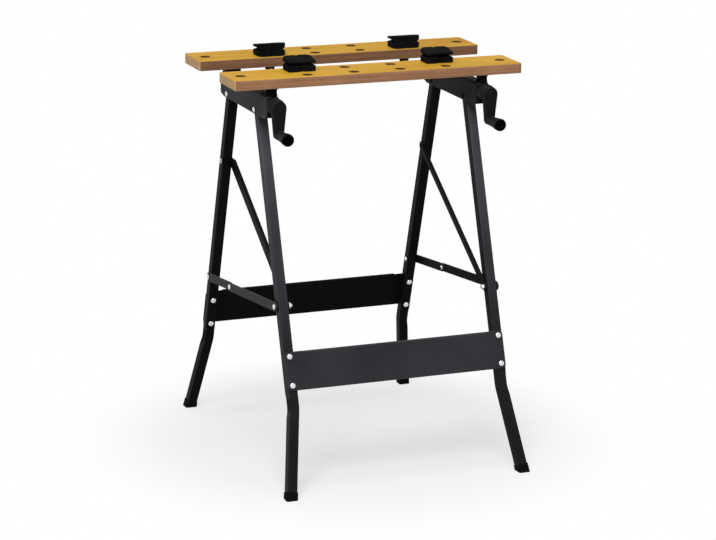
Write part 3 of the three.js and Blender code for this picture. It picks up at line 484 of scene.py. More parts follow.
JAW_FACE = jaw_face_finish()
JAW_SIDE = jaw_side_finish("jaw side", 1.27)
# Painted shade: the side's wood darkened on the clamping edge, which faces the other jaw across the gap and
# lies in its shade
JAW_CLAMP_PAINTED_SHADE = jaw_side_finish("clamping edge with painted shade", 0.75)
# Painted shade: the side's wood darkened on the walls of the holes
JAW_HOLE_PAINTED_SHADE = jaw_side_finish("hole walls with painted shade", 0.35)
# End grain painted pale as painted light falling from the left
JAW_END = jaw_end_finish()
COATED = powder_coat_finish("black powder coat", (0.043, 0.042, 0.048), (0.043, 0.042, 0.048), 0.04)
# Painted light and shade on the front legs' coat: near black at the floor, far paler at the jaws, as if lit
# from above
FRONT_LEG_PAINTED_LIGHT_COAT = powder_coat_finish("front leg coat with painted light", (0.014, 0.0137, 0.0155), (0.128, 0.125, 0.143), 0.04)
# Painted shade: a darker copy of the coat for the rear legs, rear crossbar, struts, pin tails and the inner
# and front faces where shade falls
PAINTED_SHADE_COAT = powder_coat_finish("painted shade coat", (0.0068, 0.0067, 0.0075), (0.0080, 0.0079, 0.0088), 0.03)
PLASTIC = moulded_finish("black plastic", (0.0105, 0.0105, 0.0122), (0.0185, 0.0185, 0.0212), 0.4, 1300, 0.02)
# Painted shade: a much darker copy of the black plastic, with less sheen, for the grip's front-facing end
GRIP_END_PAINTED_SHADE = moulded_finish(
    "grip end plastic with painted shade", (0.0012, 0.0012, 0.0014), (0.0026, 0.0026, 0.0030), 0.5, 1100, 0.004)
DOG_PLASTIC = moulded_finish(
    "dog plastic", (0.0035, 0.0035, 0.0038), (0.0110, 0.0110, 0.0120), 0.5, 1500, 0.005)
RUBBER = moulded_finish("foot rubber", (0.0045, 0.0045, 0.0050), (0.0080, 0.0080, 0.0088), 0.6, 900, 0.02)
ZINC = zinc_finish("bright zinc", (0.82, 0.83, 0.85), (0.60, 0.61, 0.63), 0.24)
THREAD = zinc_finish("greased thread", (0.52, 0.52, 0.52), (0.30, 0.295, 0.28), 0.32)


# Jaws

def round_corners(flat, half, radius):
    """Bends the corners of a rectangle's points round: in each corner square (a, b) becomes
    (a sqrt(1 - b^2 / 2), b sqrt(1 - a^2 / 2)), in units of the radius."""
    core = np.clip(flat, radius - half, half - radius)
    a, b = np.moveaxis((flat - core) / radius, -1, 0)
    return core + radius * join(a * np.sqrt(1 - b * b / 2), b * np.sqrt(1 - a * a / 2))


def round_edges(radius, count, plain):
    """Wall from a jaw's top to its underside with a quarter circle at each: how far each row stands
    back, its height and its edge value. The wall is plain from a given way below the top."""
    turn = quarter(count)
    back, sink = radius * (1 - np.sin(turn)), radius * (1 - np.cos(turn))
    middle = [TOP - plain, JAW_UNDERSIDE + plain]
    heights = np.concatenate([TOP - sink, middle, JAW_UNDERSIDE + sink[::-1]])
    edge = np.concatenate([np.ones(count), [0, 0], np.ones(count)])
    return np.concatenate([back, [0, 0], back[::-1]]), heights, edge


def jaw_skin(centre_y):
    """Board with round edges and rows of holes.

    Each face is a row of cells; a cell with a hole is rings from the hole to the cell's border. The
    rim carries a quarter circle, an upright and a quarter circle round the outline.
    """
    skin = Skin()
    reach = JAW_ROUND + JAW_BAND
    half, corner = np.array([JAW_HALF_LENGTH, JAW_HALF_WIDTH]) - reach, JAW_CORNER - reach
    pitches = HOLE_PITCH * np.arange(-2, 3)
    breaks = np.concatenate([[-half[0], -END_CELL_X], pitches, [END_CELL_X, half[0]]])
    steps = (14, 15, 26, 26, 26, 26, 15, 14)
    columns = [np.linspace(a, b, n + 1) for a, b, n in zip(breaks, breaks[1:], steps)]
    rows = [np.linspace(-half[1], 0, 14), np.linspace(0, half[1], 14)]
    whole = np.concatenate([rows[0], rows[1][1:]])
    hole_back, hole_heights, hole_edge = round_edges(HOLE_ROUND, 4, 2.5)

    def lay(flat, edge=0.0, ring=True):
        for z in (TOP, JAW_UNDERSIDE):
            skin.grid(lift(round_corners(flat, half, corner), z) + [0, centre_y, 0], edge, ring)

    def hole(outer, centre):
        lay(pierced(outer, centre, HOLE_RADIUS + HOLE_ROUND, (0.0, 0.06, 0.25, 0.6, 1.0)), [1, 0, 0, 0, 0])
        wall = centre + (HOLE_RADIUS + hole_back)[:, None, None] * unit(outer - centre)
        skin.grid(lift(wall, hole_heights[:, None]) + [0, centre_y, 0], hole_edge)

    for side, xs in ((-1, columns[0]), (1, columns[-1])):
        hole(border(xs, whole), np.array([side * END_HOLE_X, 0.0]))
    for xs in (columns[1], columns[-2]):
        lay(cells(xs, whole), ring=False)
    for xs in columns[2:-2]:
        for ys, y in zip(rows, (-ROW_Y, ROW_Y)):
            hole(border(xs, ys), np.array([(xs[0] + xs[-1]) / 2, y]))

    along = np.concatenate([columns[0], *[xs[1:] for xs in columns[1:]]])
    base = round_corners(border(along, whole), half, corner)
    outward = unit(base - np.clip(base, corner - half, half - corner))
    back, heights, edge = (np.pad(part, 1) for part in round_edges(JAW_ROUND, 5, 3.2))
    back[[0, -1]] = reach
    heights[[0, -1]] = TOP, JAW_UNDERSIDE
    rim = lift(base + (reach - back)[:, None, None] * outward, heights[:, None])
    return skin.grid(rim + [0, centre_y, 0], edge)


def add_jaw(name, centre_y, body, inward):
    """Jaw with end grain at its ends, painted paler as painted light, painted shade on the edge of the side
    that clamps, inward along Y, and painted shade on the walls of its holes."""
    def pick(normals, middles):
        sides = np.abs(normals[:, 2]) < FACING
        out_x = np.abs(middles[:, 0]) > JAW_HALF_LENGTH - JAW_CORNER
        out_y = (middles[:, 1] - centre_y) * inward
        rim_y = JAW_HALF_WIDTH - JAW_CORNER
        ends = sides & out_x & (np.abs(normals[:, 0]) > FACING)
        # The clamping edge and the walls of the holes get the copies with painted shade
        clamps = sides & (out_y > rim_y) & (normals[:, 1] * inward > FACING)
        holes = sides & ~out_x & (np.abs(out_y) < rim_y)
        return sides + 1 * ends + 2 * clamps + 3 * holes

    finishes = (JAW_FACE, JAW_SIDE, JAW_END, JAW_CLAMP_PAINTED_SHADE, JAW_HOLE_PAINTED_SHADE)
    make(f"{name}_board", jaw_skin(centre_y), body, finishes, (name,), pick=pick)


add_jaw("front_jaw", FRONT_JAW_Y, "top_frame", 1)
add_jaw("rear_jaw", REAR_JAW_Y, "moving_jaw", -1)


# Channels

def channel_skin(x):
    """Pressed channel: an outline in plan, from the rear round the front and back, raised to a wall
    whose upper edge bends over by a quarter circle to a web, which ends at the slot in its middle."""
    half, corner, arc = CHANNEL_HALF, CHANNEL_CORNER, quarter(7)
    side_y = np.unique(np.concatenate([
        np.linspace(CHANNEL_FRONT + corner, CHANNEL_REAR, 40),
        SLOT_FRONT + SLOT_HALF * (1 - np.cos(arc)), SLOT_REAR - SLOT_HALF * (1 - np.cos(arc)),
        CHANNEL_REAR - np.linspace(0, CHANNEL_END, 6),
        CHANNEL_FRONT + np.linspace(corner, CHANNEL_END, 5)]))[::-1]
    left = join(-half, side_y)
    bend = join(-half + corner * (1 - np.cos(arc)), CHANNEL_FRONT + corner * (1 - np.sin(arc)))
    front = join(np.linspace(-half + corner, 0, 5), CHANNEL_FRONT)
    plan = np.concatenate([left, bend[1:], front[1:]])
    plan = np.concatenate([plan, plan[-2::-1] * [-1, 1]])
    y = plan[:, 1]
    core = np.clip(plan, [corner - half, CHANNEL_FRONT + corner], [half - corner, CHANNEL_REAR])
    outward = unit(plan - core)
    ends = np.maximum(0, 1 - np.minimum(CHANNEL_REAR - y, y - CHANNEL_FRONT) / CHANNEL_END)
    low = CHANNEL_LOW + CHANNEL_END_RISE * ends
    near = np.clip(np.minimum(y - SLOT_FRONT, SLOT_REAR - y), 0, SLOT_HALF)
    slot = np.sqrt(np.maximum(SLOT_HALF ** 2 - (SLOT_HALF - near) ** 2, 0))
    middle = join(np.sign(plan[:, 0]) * slot, np.maximum(y, CHANNEL_FRONT + half))
    turn, high = quarter(6)[1:], CHANNEL_TOP - CHANNEL_BEND
    inset = np.concatenate([np.zeros(4), CHANNEL_BEND * (1 - np.cos(turn))])
    upper = np.concatenate([[high - 1.5, high], high + CHANNEL_BEND * np.sin(turn)])[:, None] + 0 * low
    wall = lift(plan - inset[:, None, None] * outward, np.concatenate([[low, low + 1.5], upper]))
    web = wall[-1, :, :2] + (middle - wall[-1, :, :2]) * np.reshape([0.0, 0.2, 0.6, 1.0], (4, 1, 1))
    bent = np.max(np.abs(outward), axis=1) < 0.99
    edge = np.maximum(np.concatenate([[1, 0, 0], np.ones(6)])[:, None], bent)
    skin = Skin().grid(wall + [x, 0, 0], edge, ring=False)
    return skin.grid(lift(web, CHANNEL_TOP) + [x, 0, 0], [1, 0, 0, 0], ring=False)


def sleeve_skin(x):
    """Sleeve under the front jaw: turned, with a flange at each end."""
    low, high = CHANNEL_TOP + GAP, JAW_UNDERSIDE - GAP
    profile = [(0, low), (11.0, low), (11.6, low + 0.6), (11.6, low + 2.6), (10.8, low + 3.4),
               (10.8, high - 4.2), (12.2, high - 3.4), (12.2, high - 0.6), (11.6, high), (0, high)]
    return lathe(Skin(), profile, (x, JAW_BOLT_Y, 0), (0, 0, 1), edge=[0, 1, 1, 0, 0, 0, 1, 1, 1, 0])


for word, side in SIDES:
    # Painted shade on the channels' inner and front faces
    make(f"channel_sheet_{word}", channel_skin(side * SIDE_X), "top_frame", (COATED, PAINTED_SHADE_COAT),
         (f"channel_{word}",), wall=SHEET, offset=-1.0,
         pick=lambda normals, middles: (normals[:, 0] * side < -FACING) | (normals[:, 1] < -FACING))
    make(f"jaw_sleeve_{word}", sleeve_skin(side * SIDE_X), "top_frame", (DOG_PLASTIC,),
         (f"jaw_spacer_{word}",))


# Spindles, cranks and knobs

def spindle_skin(x):
    """Threaded rod: the radius falls and rises in a trapezoid with y / lead plus the angle's turn."""
    y = np.concatenate([
        [SPINDLE_FRONT] * 2, np.linspace(SPINDLE_FRONT + 0.6, THREAD_REAR, 520), [SPINDLE_REAR] * 2])
    angle = np.linspace(0, 2 * np.pi, 24, endpoint=False)
    phase = (y[:, None] / THREAD_LEAD + angle / (2 * np.pi)) % 1.0
    cut = np.clip((np.abs(phase - 0.5) - THREAD_ROOT) / THREAD_FLANK, 0, 1)
    blend = np.clip(np.minimum(THREAD_REAR - y, y - THREAD_FRONT) / THREAD_RUN_OUT, 0, 1)
    r = SPINDLE_RADIUS - THREAD_DEPTH * (1 - cut) * blend[:, None]
    r[[0, -1]] = 0
    r[-2] = SPINDLE_TIP
    return Skin().grid(join(x + r * np.cos(angle), y[:, None], SPINDLE_Z + r * np.sin(angle)))


def crank_skin(x):
    """Crank: a turned nose and hub, and an arm whose outline is two arcs and their tangents, with
    round edges and a shallow panel sunk in its front.

    The arm is a stack of its outline: each row gives an inset, where None is the line between the
    arcs' middles, a height over the arm's back and an edge value.
    """
    skin = Skin()
    hub = [(0, 130.6), (7.4, 130.6), (8.0, 131.2), (8.0, 134.6), (14.9, 134.6), (16.0, 135.1),
           (16.5, 136.2), (16.5, 138.5), (16.5, 151.5), (16.2, 153.4), (15.4, 154.4), (14.4, 155.2),
           (13.4, 157.0), (0, 157.0)]
    lathe(skin, hub, (x, 0, SPINDLE_Z), (0, -1, 0), 56, [0, 1, 1, 0, 0, 1, 1, 0, 0, 1, 1, 1, 0, 0])
    lean = math.asin((ARM_HUB - ARM_TIP) / THROW)
    angle = np.concatenate([
        np.linspace(-lean, np.pi + lean, 25), np.linspace(np.pi + lean, 2 * np.pi - lean, 21)])
    upper = np.arange(46)[:, None] < 25
    ray = join(np.cos(angle), np.sin(angle))
    spine = np.where(upper, 0.0, [0.0, -THROW])
    outline = spine + ray * np.where(upper, ARM_HUB, ARM_TIP)
    deep = ARM_BACK - ARM_FRONT
    rise = [(ARM_ROUND * (1 - math.sin(a)), ARM_ROUND * (1 - math.cos(a)), 1) for a in quarter(4)]
    rows = [(None, 0, 0), (2.2 * ARM_ROUND, 0, 0), *rise, (0, 2 * ARM_ROUND, 0), (0, deep - 2 * ARM_ROUND, 0)]
    rows += [(inset, deep - height, 1) for inset, height, _ in reversed(rise)]
    rows += [(PANEL_INSET - 0.9, deep, 0), (PANEL_INSET - 0.6, deep, 0.4),
             (PANEL_INSET, deep - PANEL_DEPTH, 0), (None, deep - PANEL_DEPTH, 0)]
    layers = np.stack([spine if inset is None else outline - inset * ray for inset, _, _ in rows])
    back = ARM_BACK - np.array([height for _, height, _ in rows])[:, None]
    arm = join(x + layers[..., 0], back, SPINDLE_Z + layers[..., 1])
    skin.grid(arm, [edge for *_, edge in rows])
    cap = [(0, 0), (6.6, 0), (6.6, 0.6), (6.2, 1.0), (4.6, 1.1), (4.3, 0.7), (0, 0.7)]
    return lathe(skin, cap, (x, ARM_FRONT + GAP, SPINDLE_Z), (0, -1, 0), 40, [0, 0, 1, 1, 1, 0, 0])


def knob_skin(x):
    """Grip: a turned profile, waisted and fuller to its end, with flutes that deepen along it and a
    dished end with a plugged screw hole."""
    heights = [0, 0, 0.5, 1.2, 5, 9, 13, 18, 24, 30, 36, 40, 43, 45.5, 47.5, 49, 49.8, 50,
               50, 49.3, 49.0, 48.6, 48.6, 47.2, 47.0]
    radii = [0, 9.3, 9.8, 10.0, 9.9, 9.8, 9.9, 10.2, 10.7, 11.4, 12.0, 12.3, 12.45, 12.45, 12.1, 11.2,
             10.0, 9.4, 8.4, 7.7, 6.0, 4.4, 3.6, 3.2, 0]
    edge = [0, 1, 1, 0.5] + [0] * 10 + [1] * 5 + [0, 0, 1, 0, 0, 0]

    def flutes(angle, height):
        deep = np.clip((height - FLUTE_START) / 12, 0, 1) * np.clip((FLUTE_END - height) / 4, 0, 1)
        return 1 - FLUTE_DEPTH * deep * (0.5 - 0.5 * np.cos(KNOB_FLUTES * angle)) ** 3

    place = (x, ARM_FRONT - GAP, SPINDLE_Z - THROW)
    return lathe(Skin(), join(radii, heights), place, (0, -1, 0), 96, edge, flutes)


for word, side in SIDES:
    x = side * SIDE_X
    make(f"spindle_thread_{word}", spindle_skin(x), f"drive_{word}", (THREAD,),
         (f"spindle_{word}",), crease=60)
    make(f"crank_handle_{word}", crank_skin(x), f"drive_{word}", (PLASTIC,),
         (f"crank_{word}",))
    # The grip's end, facing the front, gets the darker plastic as painted shade
    make(f"crank_grip_{word}", knob_skin(x), f"knob_{word}", (PLASTIC, GRIP_END_PAINTED_SHADE),
         (f"crank_knob_{word}",), pick=lambda normals, middles: normals[:, 1] < -GRIP_FACING)


# Legs

def leg_frame(pivot_y, tilt):
    """Puts (x, y, z) of a leg frame, whose -z runs down the legs, into the bench's frame."""
    c, s = math.cos(tilt), math.sin(tilt)

    def put(points):
        px, py, pz = np.moveaxis(np.asarray(points, float), -1, 0)
        return join(px, pivot_y + py * c - pz * s, PIVOT_Z + py * s + pz * c)

    return put


FRONT_TILT = math.atan2(FOOT_Y + FRONT_PIVOT_Y, PIVOT_Z)
REAR_TILT = math.atan2(FOOT_Y - REAR_PIVOT_Y, PIVOT_Z)
FRAMES = {"front": (leg_frame(FRONT_PIVOT_Y, -FRONT_TILT), FRONT_TILT),
          "rear": (leg_frame(REAR_PIVOT_Y, REAR_TILT), REAR_TILT)}


def leg_path(side, tilt):
    """Middle line of a leg in its frame: straight down, a bend outwards on a circle, straight to the
    floor. Gives the places as (x, z) and the lean out of the upright at each."""
    bend, floor = (PIVOT_Z - BEND_HEIGHT) / math.cos(tilt), PIVOT_Z / math.cos(tilt)
    splay = math.atan2(FOOT_X - SIDE_X, floor - bend)
    reach = BEND_RADIUS * math.tan(splay / 2)
    a = np.linspace(0, splay, 9)
    curve = join(BEND_RADIUS * (1 - np.cos(a)), -bend + reach - BEND_RADIUS * np.sin(a))
    straight = (floor - bend) / math.cos(splay) - reach
    run = straight * np.append(np.linspace(0.02, 0.2, 9), [0.3, 0.6, 0.85, 1.0])
    below = curve[-1] + run[:, None] * [math.sin(splay), -math.cos(splay)]
    upper = curve[0, 1] + np.append(np.linspace(LEG_OVER_PIVOT - curve[0, 1], 40, 8), np.linspace(36, 3, 11))
    line = np.concatenate([join(0, upper), curve, below])
    angle = np.concatenate([0 * upper, a, np.full(len(run), splay)])
    return line * [side, 1] + [side * SIDE_X, 0], angle * side


def leg_skin(side, row):
    """Square tube carried down the leg, with an open upper end and its lower end inside the foot cap.

    At the bend the outer wall is pressed in by depth (1 - s^2)^2 (1 - bulge v^2), where s is the way
    from the press's middle and v the way across the wall, in units of the press's and the tube's
    halves. The round corners follow by their share of the way to the wall.
    """
    put, tilt = FRAMES[row]
    line, angle = leg_path(side, tilt)
    line[-1] += TUBE_OVER_FLOOR * np.array([-math.sin(angle[-1]), math.cos(angle[-1])])
    bore = [[0, -TUBE_DEPTH], [0, -TUBE_DEPTH], [0, 0], [0, 0]]
    line = np.concatenate([line[[0, 0, 0, 0]] + bore, line[1:], line[[-1]]])
    angle = np.concatenate([angle[[0, 0, 0]], angle, angle[[-1]]])
    scale = np.ones((len(line), 1))
    scale[[0, 1, 2, -1], 0] = 0.0, TUBE_BORE, TUBE_BORE, 0.0
    across = join(np.cos(angle), 0, np.sin(angle)) * scale
    along = scale * [0.0, 1.0, 0.0]
    origin = join(line[:, 0], 0, line[:, 1])
    profile, edge = square_profile(LEG_HALF, LEG_ROUND, steps=7)
    s = (line[:, 1] + (PIVOT_Z - BEND_HEIGHT) / math.cos(tilt) - PRESS_RISE) / PRESS_HALF
    share = np.clip((side * profile[:, 0] - LEG_HALF + LEG_ROUND) / LEG_ROUND, 0, 1)
    wall = share * (1 - PRESS_BULGE * (profile[:, 1] / LEG_HALF) ** 2)
    pressed = profile[:, 0] - side * PRESS_DEPTH * np.maximum(1 - s ** 2, 0)[:, None] ** 2 * wall
    points = origin[:, None] + pressed[..., None] * across[:, None] + profile[:, 1:] * along[:, None]
    return Skin().grid(put(points), edge[None, :])


def foot_skin(side, row):
    """Foot cap: a square cup carried down the leg's line to the floor, each corner as far as z = 0.
    Each row gives a scale, a share of the way to the floor and an edge value."""
    put, tilt = FRAMES[row]
    line, angle = leg_path(side, tilt)
    across = np.array([math.cos(angle[-1]), 0, math.sin(angle[-1])])
    down = np.array([math.sin(angle[-1]), 0, -math.cos(angle[-1])])
    top = np.array([line[-1, 0], 0, line[-1, 1]]) - CAP_HEIGHT * down
    axis = put(down) - put(np.zeros(3))
    profile, corners = square_profile(CAP_HALF, CAP_ROUND)
    rows = [(0.86, 0.0, 0), (0.93, 0.0, 1), (0.98, 0.02, 1), (1.0, 0.07, 1), (1.0, 0.16, 0.4),
            (0.985, 0.2, 0), (0.985, 0.26, 0), (1.0, 0.3, 0.4), (1.0, 0.86, 0.3), (1.02, 0.93, 0.6),
            (1.0, 0.98, 1), (0.94, 1.0, 0.3), (0.0, 1.0, 0)]
    rings = []
    for scale, share, _ in rows:
        ring = put(top + scale * (profile[:, :1] * across + profile[:, 1:] * [0.0, 1.0, 0.0]))
        rings.append(ring - share * (ring[:, 2:] / axis[2]) * axis)
    near = np.array([edge for *_, edge in rows])[:, None]
    return Skin().grid(np.stack(rings), np.maximum(near, 0.3 * corners))


# Painted light on the front legs' coat grows with height; painted shade covers the rear legs and all inner
# faces
for row, coat in (("front", FRONT_LEG_PAINTED_LIGHT_COAT), ("rear", PAINTED_SHADE_COAT)):
    for word, side in SIDES:
        make(f"{row}_leg_tube_{word}", leg_skin(side, row), f"{row}_legs", (coat, PAINTED_SHADE_COAT),
             (f"{row}_leg_{word}",), pick=inner_faces(side))
        make(f"{row}_foot_cap_{word}", foot_skin(side, row), f"{row}_legs", (RUBBER,),
             (f"{row}_foot_{word}",))


# Crossbars

def crossbar_skin(row, outward, drop, flange):
    """Sheet bar: an upright plate whose length shrinks along a circle at its corners, and along its top
    a quarter-circle bend into a flange, which has round tool holes where it is wide enough."""
    skin, put, pierce = Skin(), FRAMES[row][0], flange > 2 * TOOL_HOLE
    face, end = outward * (LEG_HALF + GAP + SHEET / 2), LEG_HALF + SIDE_X
    under = BAR_BEND + SHEET / 2
    half_cells = TOOL_PITCH * TOOL_COUNT / 2
    inner = np.linspace(-half_cells, half_cells, 8 * TOOL_COUNT + 1)
    outer = np.linspace(half_cells, FLANGE_HALF, 5)[1:]
    lip_x = np.concatenate([-outer[::-1], inner, outer])
    beyond = np.linspace(FLANGE_HALF, end, 8)
    turn = quarter(6)
    arc = BAR_CORNER * (1 - np.cos(turn))

    def upright(xs, z):
        close = np.clip(np.minimum(z, BAR_HEIGHT - z), 0, BAR_CORNER)[:, None]
        trim = BAR_CORNER - np.sqrt(BAR_CORNER ** 2 - (BAR_CORNER - close) ** 2)
        share = np.clip((np.abs(xs) - FLANGE_HALF) / (end - FLANGE_HALF), 0, 1)
        px = np.sign(xs) * (np.abs(xs) - trim * share)
        flat = join(px, face, -drop - z[:, None])
        skin.grid(put(flat), np.clip((close < 0.4) + 1.0 * (share > 0.99), 0.0, 1.0), ring=False)

    plate_x = np.concatenate([-beyond[:0:-1], lip_x, beyond[1:]])
    plate_z = [[under, 5.4, BAR_CORNER], np.linspace(2 * BAR_CORNER, BAR_HEIGHT - 2 * BAR_CORNER, 6)]
    upright(plate_x, np.concatenate([*plate_z, BAR_HEIGHT - arc[::-1]]))
    for xs in (beyond, -beyond):
        upright(xs, np.append(arc[arc < under], under))
    out, rise = BAR_BEND * (1 - np.cos(turn))[:, None], BAR_BEND * np.sin(turn)[:, None]
    bent = join(lip_x, face + out, -drop - under + rise)
    skin.grid(put(bent), [0, 1, 1, 1, 1, 0], ring=False)
    deep = np.linspace(face + BAR_BEND, face - SHEET / 2 + flange, 9)
    level = -drop - SHEET / 2
    plain = [lip_x[lip_x >= half_cells], lip_x[lip_x <= -half_cells]]
    for xs in plain if pierce else plain + [inner]:
        skin.grid(put(lift(cells(xs, deep), level)), (deep == deep[-1])[None, :], ring=False)
    for xs in np.split(inner[:-1], TOOL_COUNT) if pierce else ():
        centre = np.array([xs[0] + TOOL_PITCH / 2, face + flange / 2])
        cell = border(np.append(xs, xs[0] + TOOL_PITCH), deep)
        rings = pierced(cell, centre, TOOL_HOLE, (0.0, 0.15, 0.5, 1.0))
        skin.grid(put(lift(rings, level)), [1, 0, 0, 0])
    return skin


# Painted shade on the rear crossbar
CROSSBARS = (("front", -1, FRONT_BAR_DROP, TOOL_FLANGE, COATED),
             ("rear", 1, REAR_BAR_DROP, REAR_FLANGE, PAINTED_SHADE_COAT))
for row, outward, drop, flange, coat in CROSSBARS:
    make(f"{row}_crossbar_sheet", crossbar_skin(row, outward, drop, flange), f"{row}_legs", (coat,),
         (f"{row}_crossbar",), wall=SHEET, soften=0.5)


# Struts and stays

def bar_skin(start, end, half, x_face, inward, thick, lip=0.0, lip_from=0.0, lip_to=0.0):
    """Flat bar with round ends between two pins in the plane of Y and Z, with a flange along its upper
    edge.

    A closed section of face, edge and back is carried from one end to the other; its half width
    follows a circle at both ends and the flange grows and fades along its length. Each row of the
    section gives a way up from the middle, a depth and an edge value.
    """
    length = np.linalg.norm(end - start)
    along = (end - start) / length
    up = np.array([-along[1], along[0]])
    up *= np.sign(up[1])
    tips = half * (1 - np.cos(quarter(10)))
    places = [tips - half, length + half - tips, np.linspace(0, length, 14)]
    if lip:
        places += [lip_from + np.linspace(0, LIP_FADE, 5), lip_to - np.linspace(0, LIP_FADE, 5)]
    s = np.unique(np.concatenate(places))
    close = np.clip(np.minimum(s + half, length + half - s), 0, half)
    wide = np.sqrt(np.maximum(half ** 2 - (half - close) ** 2, 0))
    grow = np.clip((s - lip_from) / LIP_FADE, 0, 1) * np.clip((lip_to - s) / LIP_FADE, 0, 1)
    deep = thick + lip * grow * grow * (3 - 2 * grow)
    r = 0.55
    snug, flat = np.minimum(r, wide), np.minimum(2.4, wide)
    rows = [(snug - wide, 0, 0), (-wide, r, 1), (-wide, thick - r, 1), (snug - wide, thick, 0),
            (np.minimum(2.0, wide) - wide, thick, 0), (wide - np.minimum(thick + 1.2, wide), thick, 0),
            (wide - np.minimum(thick, wide), np.maximum(deep - r, thick), 0),
            (wide - np.minimum(thick - r, wide), deep, 1), (wide - snug, deep, 1), (wide, deep - r, 1),
            (wide, 1.6, 0), (wide - 0.25 * snug, 0.6, 1), (wide - snug, 0.1, 1), (wide - flat, 0, 0),
            (flat - wide, 0, 0)]
    u, v, edge = (np.stack([part + 0 * wide for part in column], 1) for column in zip(*rows))
    yz = start + s[:, None, None] * along + u[..., None] * up
    return Skin().grid(np.concatenate([(x_face - inward * v)[..., None], yz], -1), edge)


def on_leg(row, drop):
    """Place of a pin on a leg, as Y and Z."""
    return FRAMES[row][0](np.array([0.0, 0.0, -drop]))[1:]


STRUT_TOP, STRUT_FOOT = on_leg("rear", STRUT_UPPER), on_leg("front", STRUT_LOWER)
STAY_TOP = on_leg("rear", STAY_UPPER)
# The stays' knee lies on the straight line from the rear leg's pin to the front leg's
KNEE = STAY_TOP + REAR_STAY_LENGTH * unit(STRUT_FOOT - STAY_TOP)


def strut_skin(side):
    """Strut with a flange along most of it, and on its inner face the nut of the lower pin."""
    lip_to = np.linalg.norm(STRUT_FOOT - STRUT_TOP) - LIP_SHORT
    skin = bar_skin(STRUT_TOP, STRUT_FOOT, STRUT_HALF, side * STRUT_X, side, SHEET, LIP, LIP_START, lip_to)
    spot, axis = (side * (STRUT_X - SHEET), *STRUT_FOOT), (-side, 0, 0)
    add_nut(skin, STRUT_NUT, STRUT_NUT_HEIGHT, spot, axis)
    return lathe(skin, [(0, 0), (SHANK, 0), (SHANK, 7.8), (2.4, 8.4), (0, 8.4)], spot, axis, 20)


def strut_nut(side):
    """Picks the second finish for the nut on a strut."""
    def pick(normals, middles):
        near = np.linalg.norm(middles[:, 1:] - STRUT_FOOT, axis=1) < 1.2 * STRUT_NUT
        return near & (middles[:, 0] * side < STRUT_X - SHEET - 0.01)

    return pick


for word, side in SIDES:
    # Painted shade on the struts all over, and on the stays' inner faces
    make(f"strut_flat_{word}", strut_skin(side), f"strut_bar_{word}", (PAINTED_SHADE_COAT, ZINC),
         (f"strut_{word}",), pick=strut_nut(side))
    for row, end, x in (("rear", STAY_TOP, STAY_REAR_X), ("front", STRUT_FOOT, STAY_FRONT_X)):
        flat = bar_skin(end, KNEE, STAY_HALF, side * (x + STAY_SHEET), side, STAY_SHEET)
        make(f"{row}_stay_flat_{word}", flat, f"stay_{row}_{word}", (COATED, PAINTED_SHADE_COAT),
             (f"{row}_stay_{word}",), pick=inner_faces(side))


# Bolts, pins and washers

def bolt_skin(place, axis, reach):
    """Bolt: a domed head, a shank and a six-sided nut at so far behind the head."""
    dome = [(0, 0), (5.1, 0), (5.65, 0.25), (5.75, 0.8), (5.6, 1.5), (5.1, 2.2), (4.2, 2.85), (3.0, 3.25),
            (1.6, 3.45), (0, 3.5)]
    skin = lathe(Skin(), dome, place, axis, 32, [0, 1, 1, 1, 0, 0, 0, 0, 0, 0])
    behind = place - reach * axis
    lathe(skin, [(0, -0.1), (SHANK, -0.1), (SHANK, 6.0), (0, 6.0)], behind, -axis, 20)
    return add_nut(skin, BOLT_NUT, BOLT_NUT_HEIGHT, behind, -axis)


def add_bolts(row, drop, low, high):
    """Bolts at the corners of a crossbar, from low to high across the leg."""
    put = FRAMES[row][0]
    axis = put(np.array([0.0, -1.0, 0.0])) - put(np.zeros(3))
    for height, inset in BOLT_INSETS:
        for word, side in SIDES:
            place = put(np.array([side * SIDE_X, low - GAP, -drop - inset]))
            make(f"{row}_bolt_{height}_{word}", bolt_skin(place, axis, high - low + 2 * GAP), f"{row}_legs",
                 (ZINC,), (f"{row}_crossbar_bolt_{height}_{word}",))


add_bolts("front", FRONT_BAR_DROP, -LEG_HALF - GAP - SHEET, LEG_HALF)
add_bolts("rear", REAR_BAR_DROP, -LEG_HALF, LEG_HALF + GAP + SHEET)


def pin_skin(side, outer, inner, spot, tail):
    """Rivet along X: a low domed head outside, a shank and, where it ends inside, a smaller upset tail."""
    start, reach = (side * (outer + GAP), *spot), outer - inner + 0.5
    head = [(0, 0), (5.0, 0), (5.5, 0.5), (5.3, 1.1), (4.4, 1.8), (2.8, 2.3), (0, 2.5)]
    skin = lathe(Skin(), head, start, (side, 0, 0), 32, [0, 1, 1, 1, 0, 0, 0])
    lathe(skin, [(0, 0), (SHANK, 0), (SHANK, reach), (0, reach)], start, (-side, 0, 0), 20)
    if tail:
        upset = [(0, 0), (4.1, 0), (4.5, 0.4), (4.2, 1.2), (2.6, 1.8), (0, 2.0)]
        lathe(skin, upset, (side * (inner - GAP), *spot), (-side, 0, 0), 28, [0, 1, 1, 0, 0, 0])
    return skin


def washer_skin(side, spot):
    """Flat ring with round edges."""
    ring = [(3.4, 0.3), (3.8, 0), (10.4, 0), (11, 0.5), (11, 2.0), (10.4, 2.5), (3.8, 2.5), (3.4, 2.2),
            (3.4, 0.3)]
    return lathe(Skin(), ring, (side * STAY_REAR_X, *spot), (side, 0, 0), 40, [0, 0, 1, 1, 1, 1, 0, 0, 0])


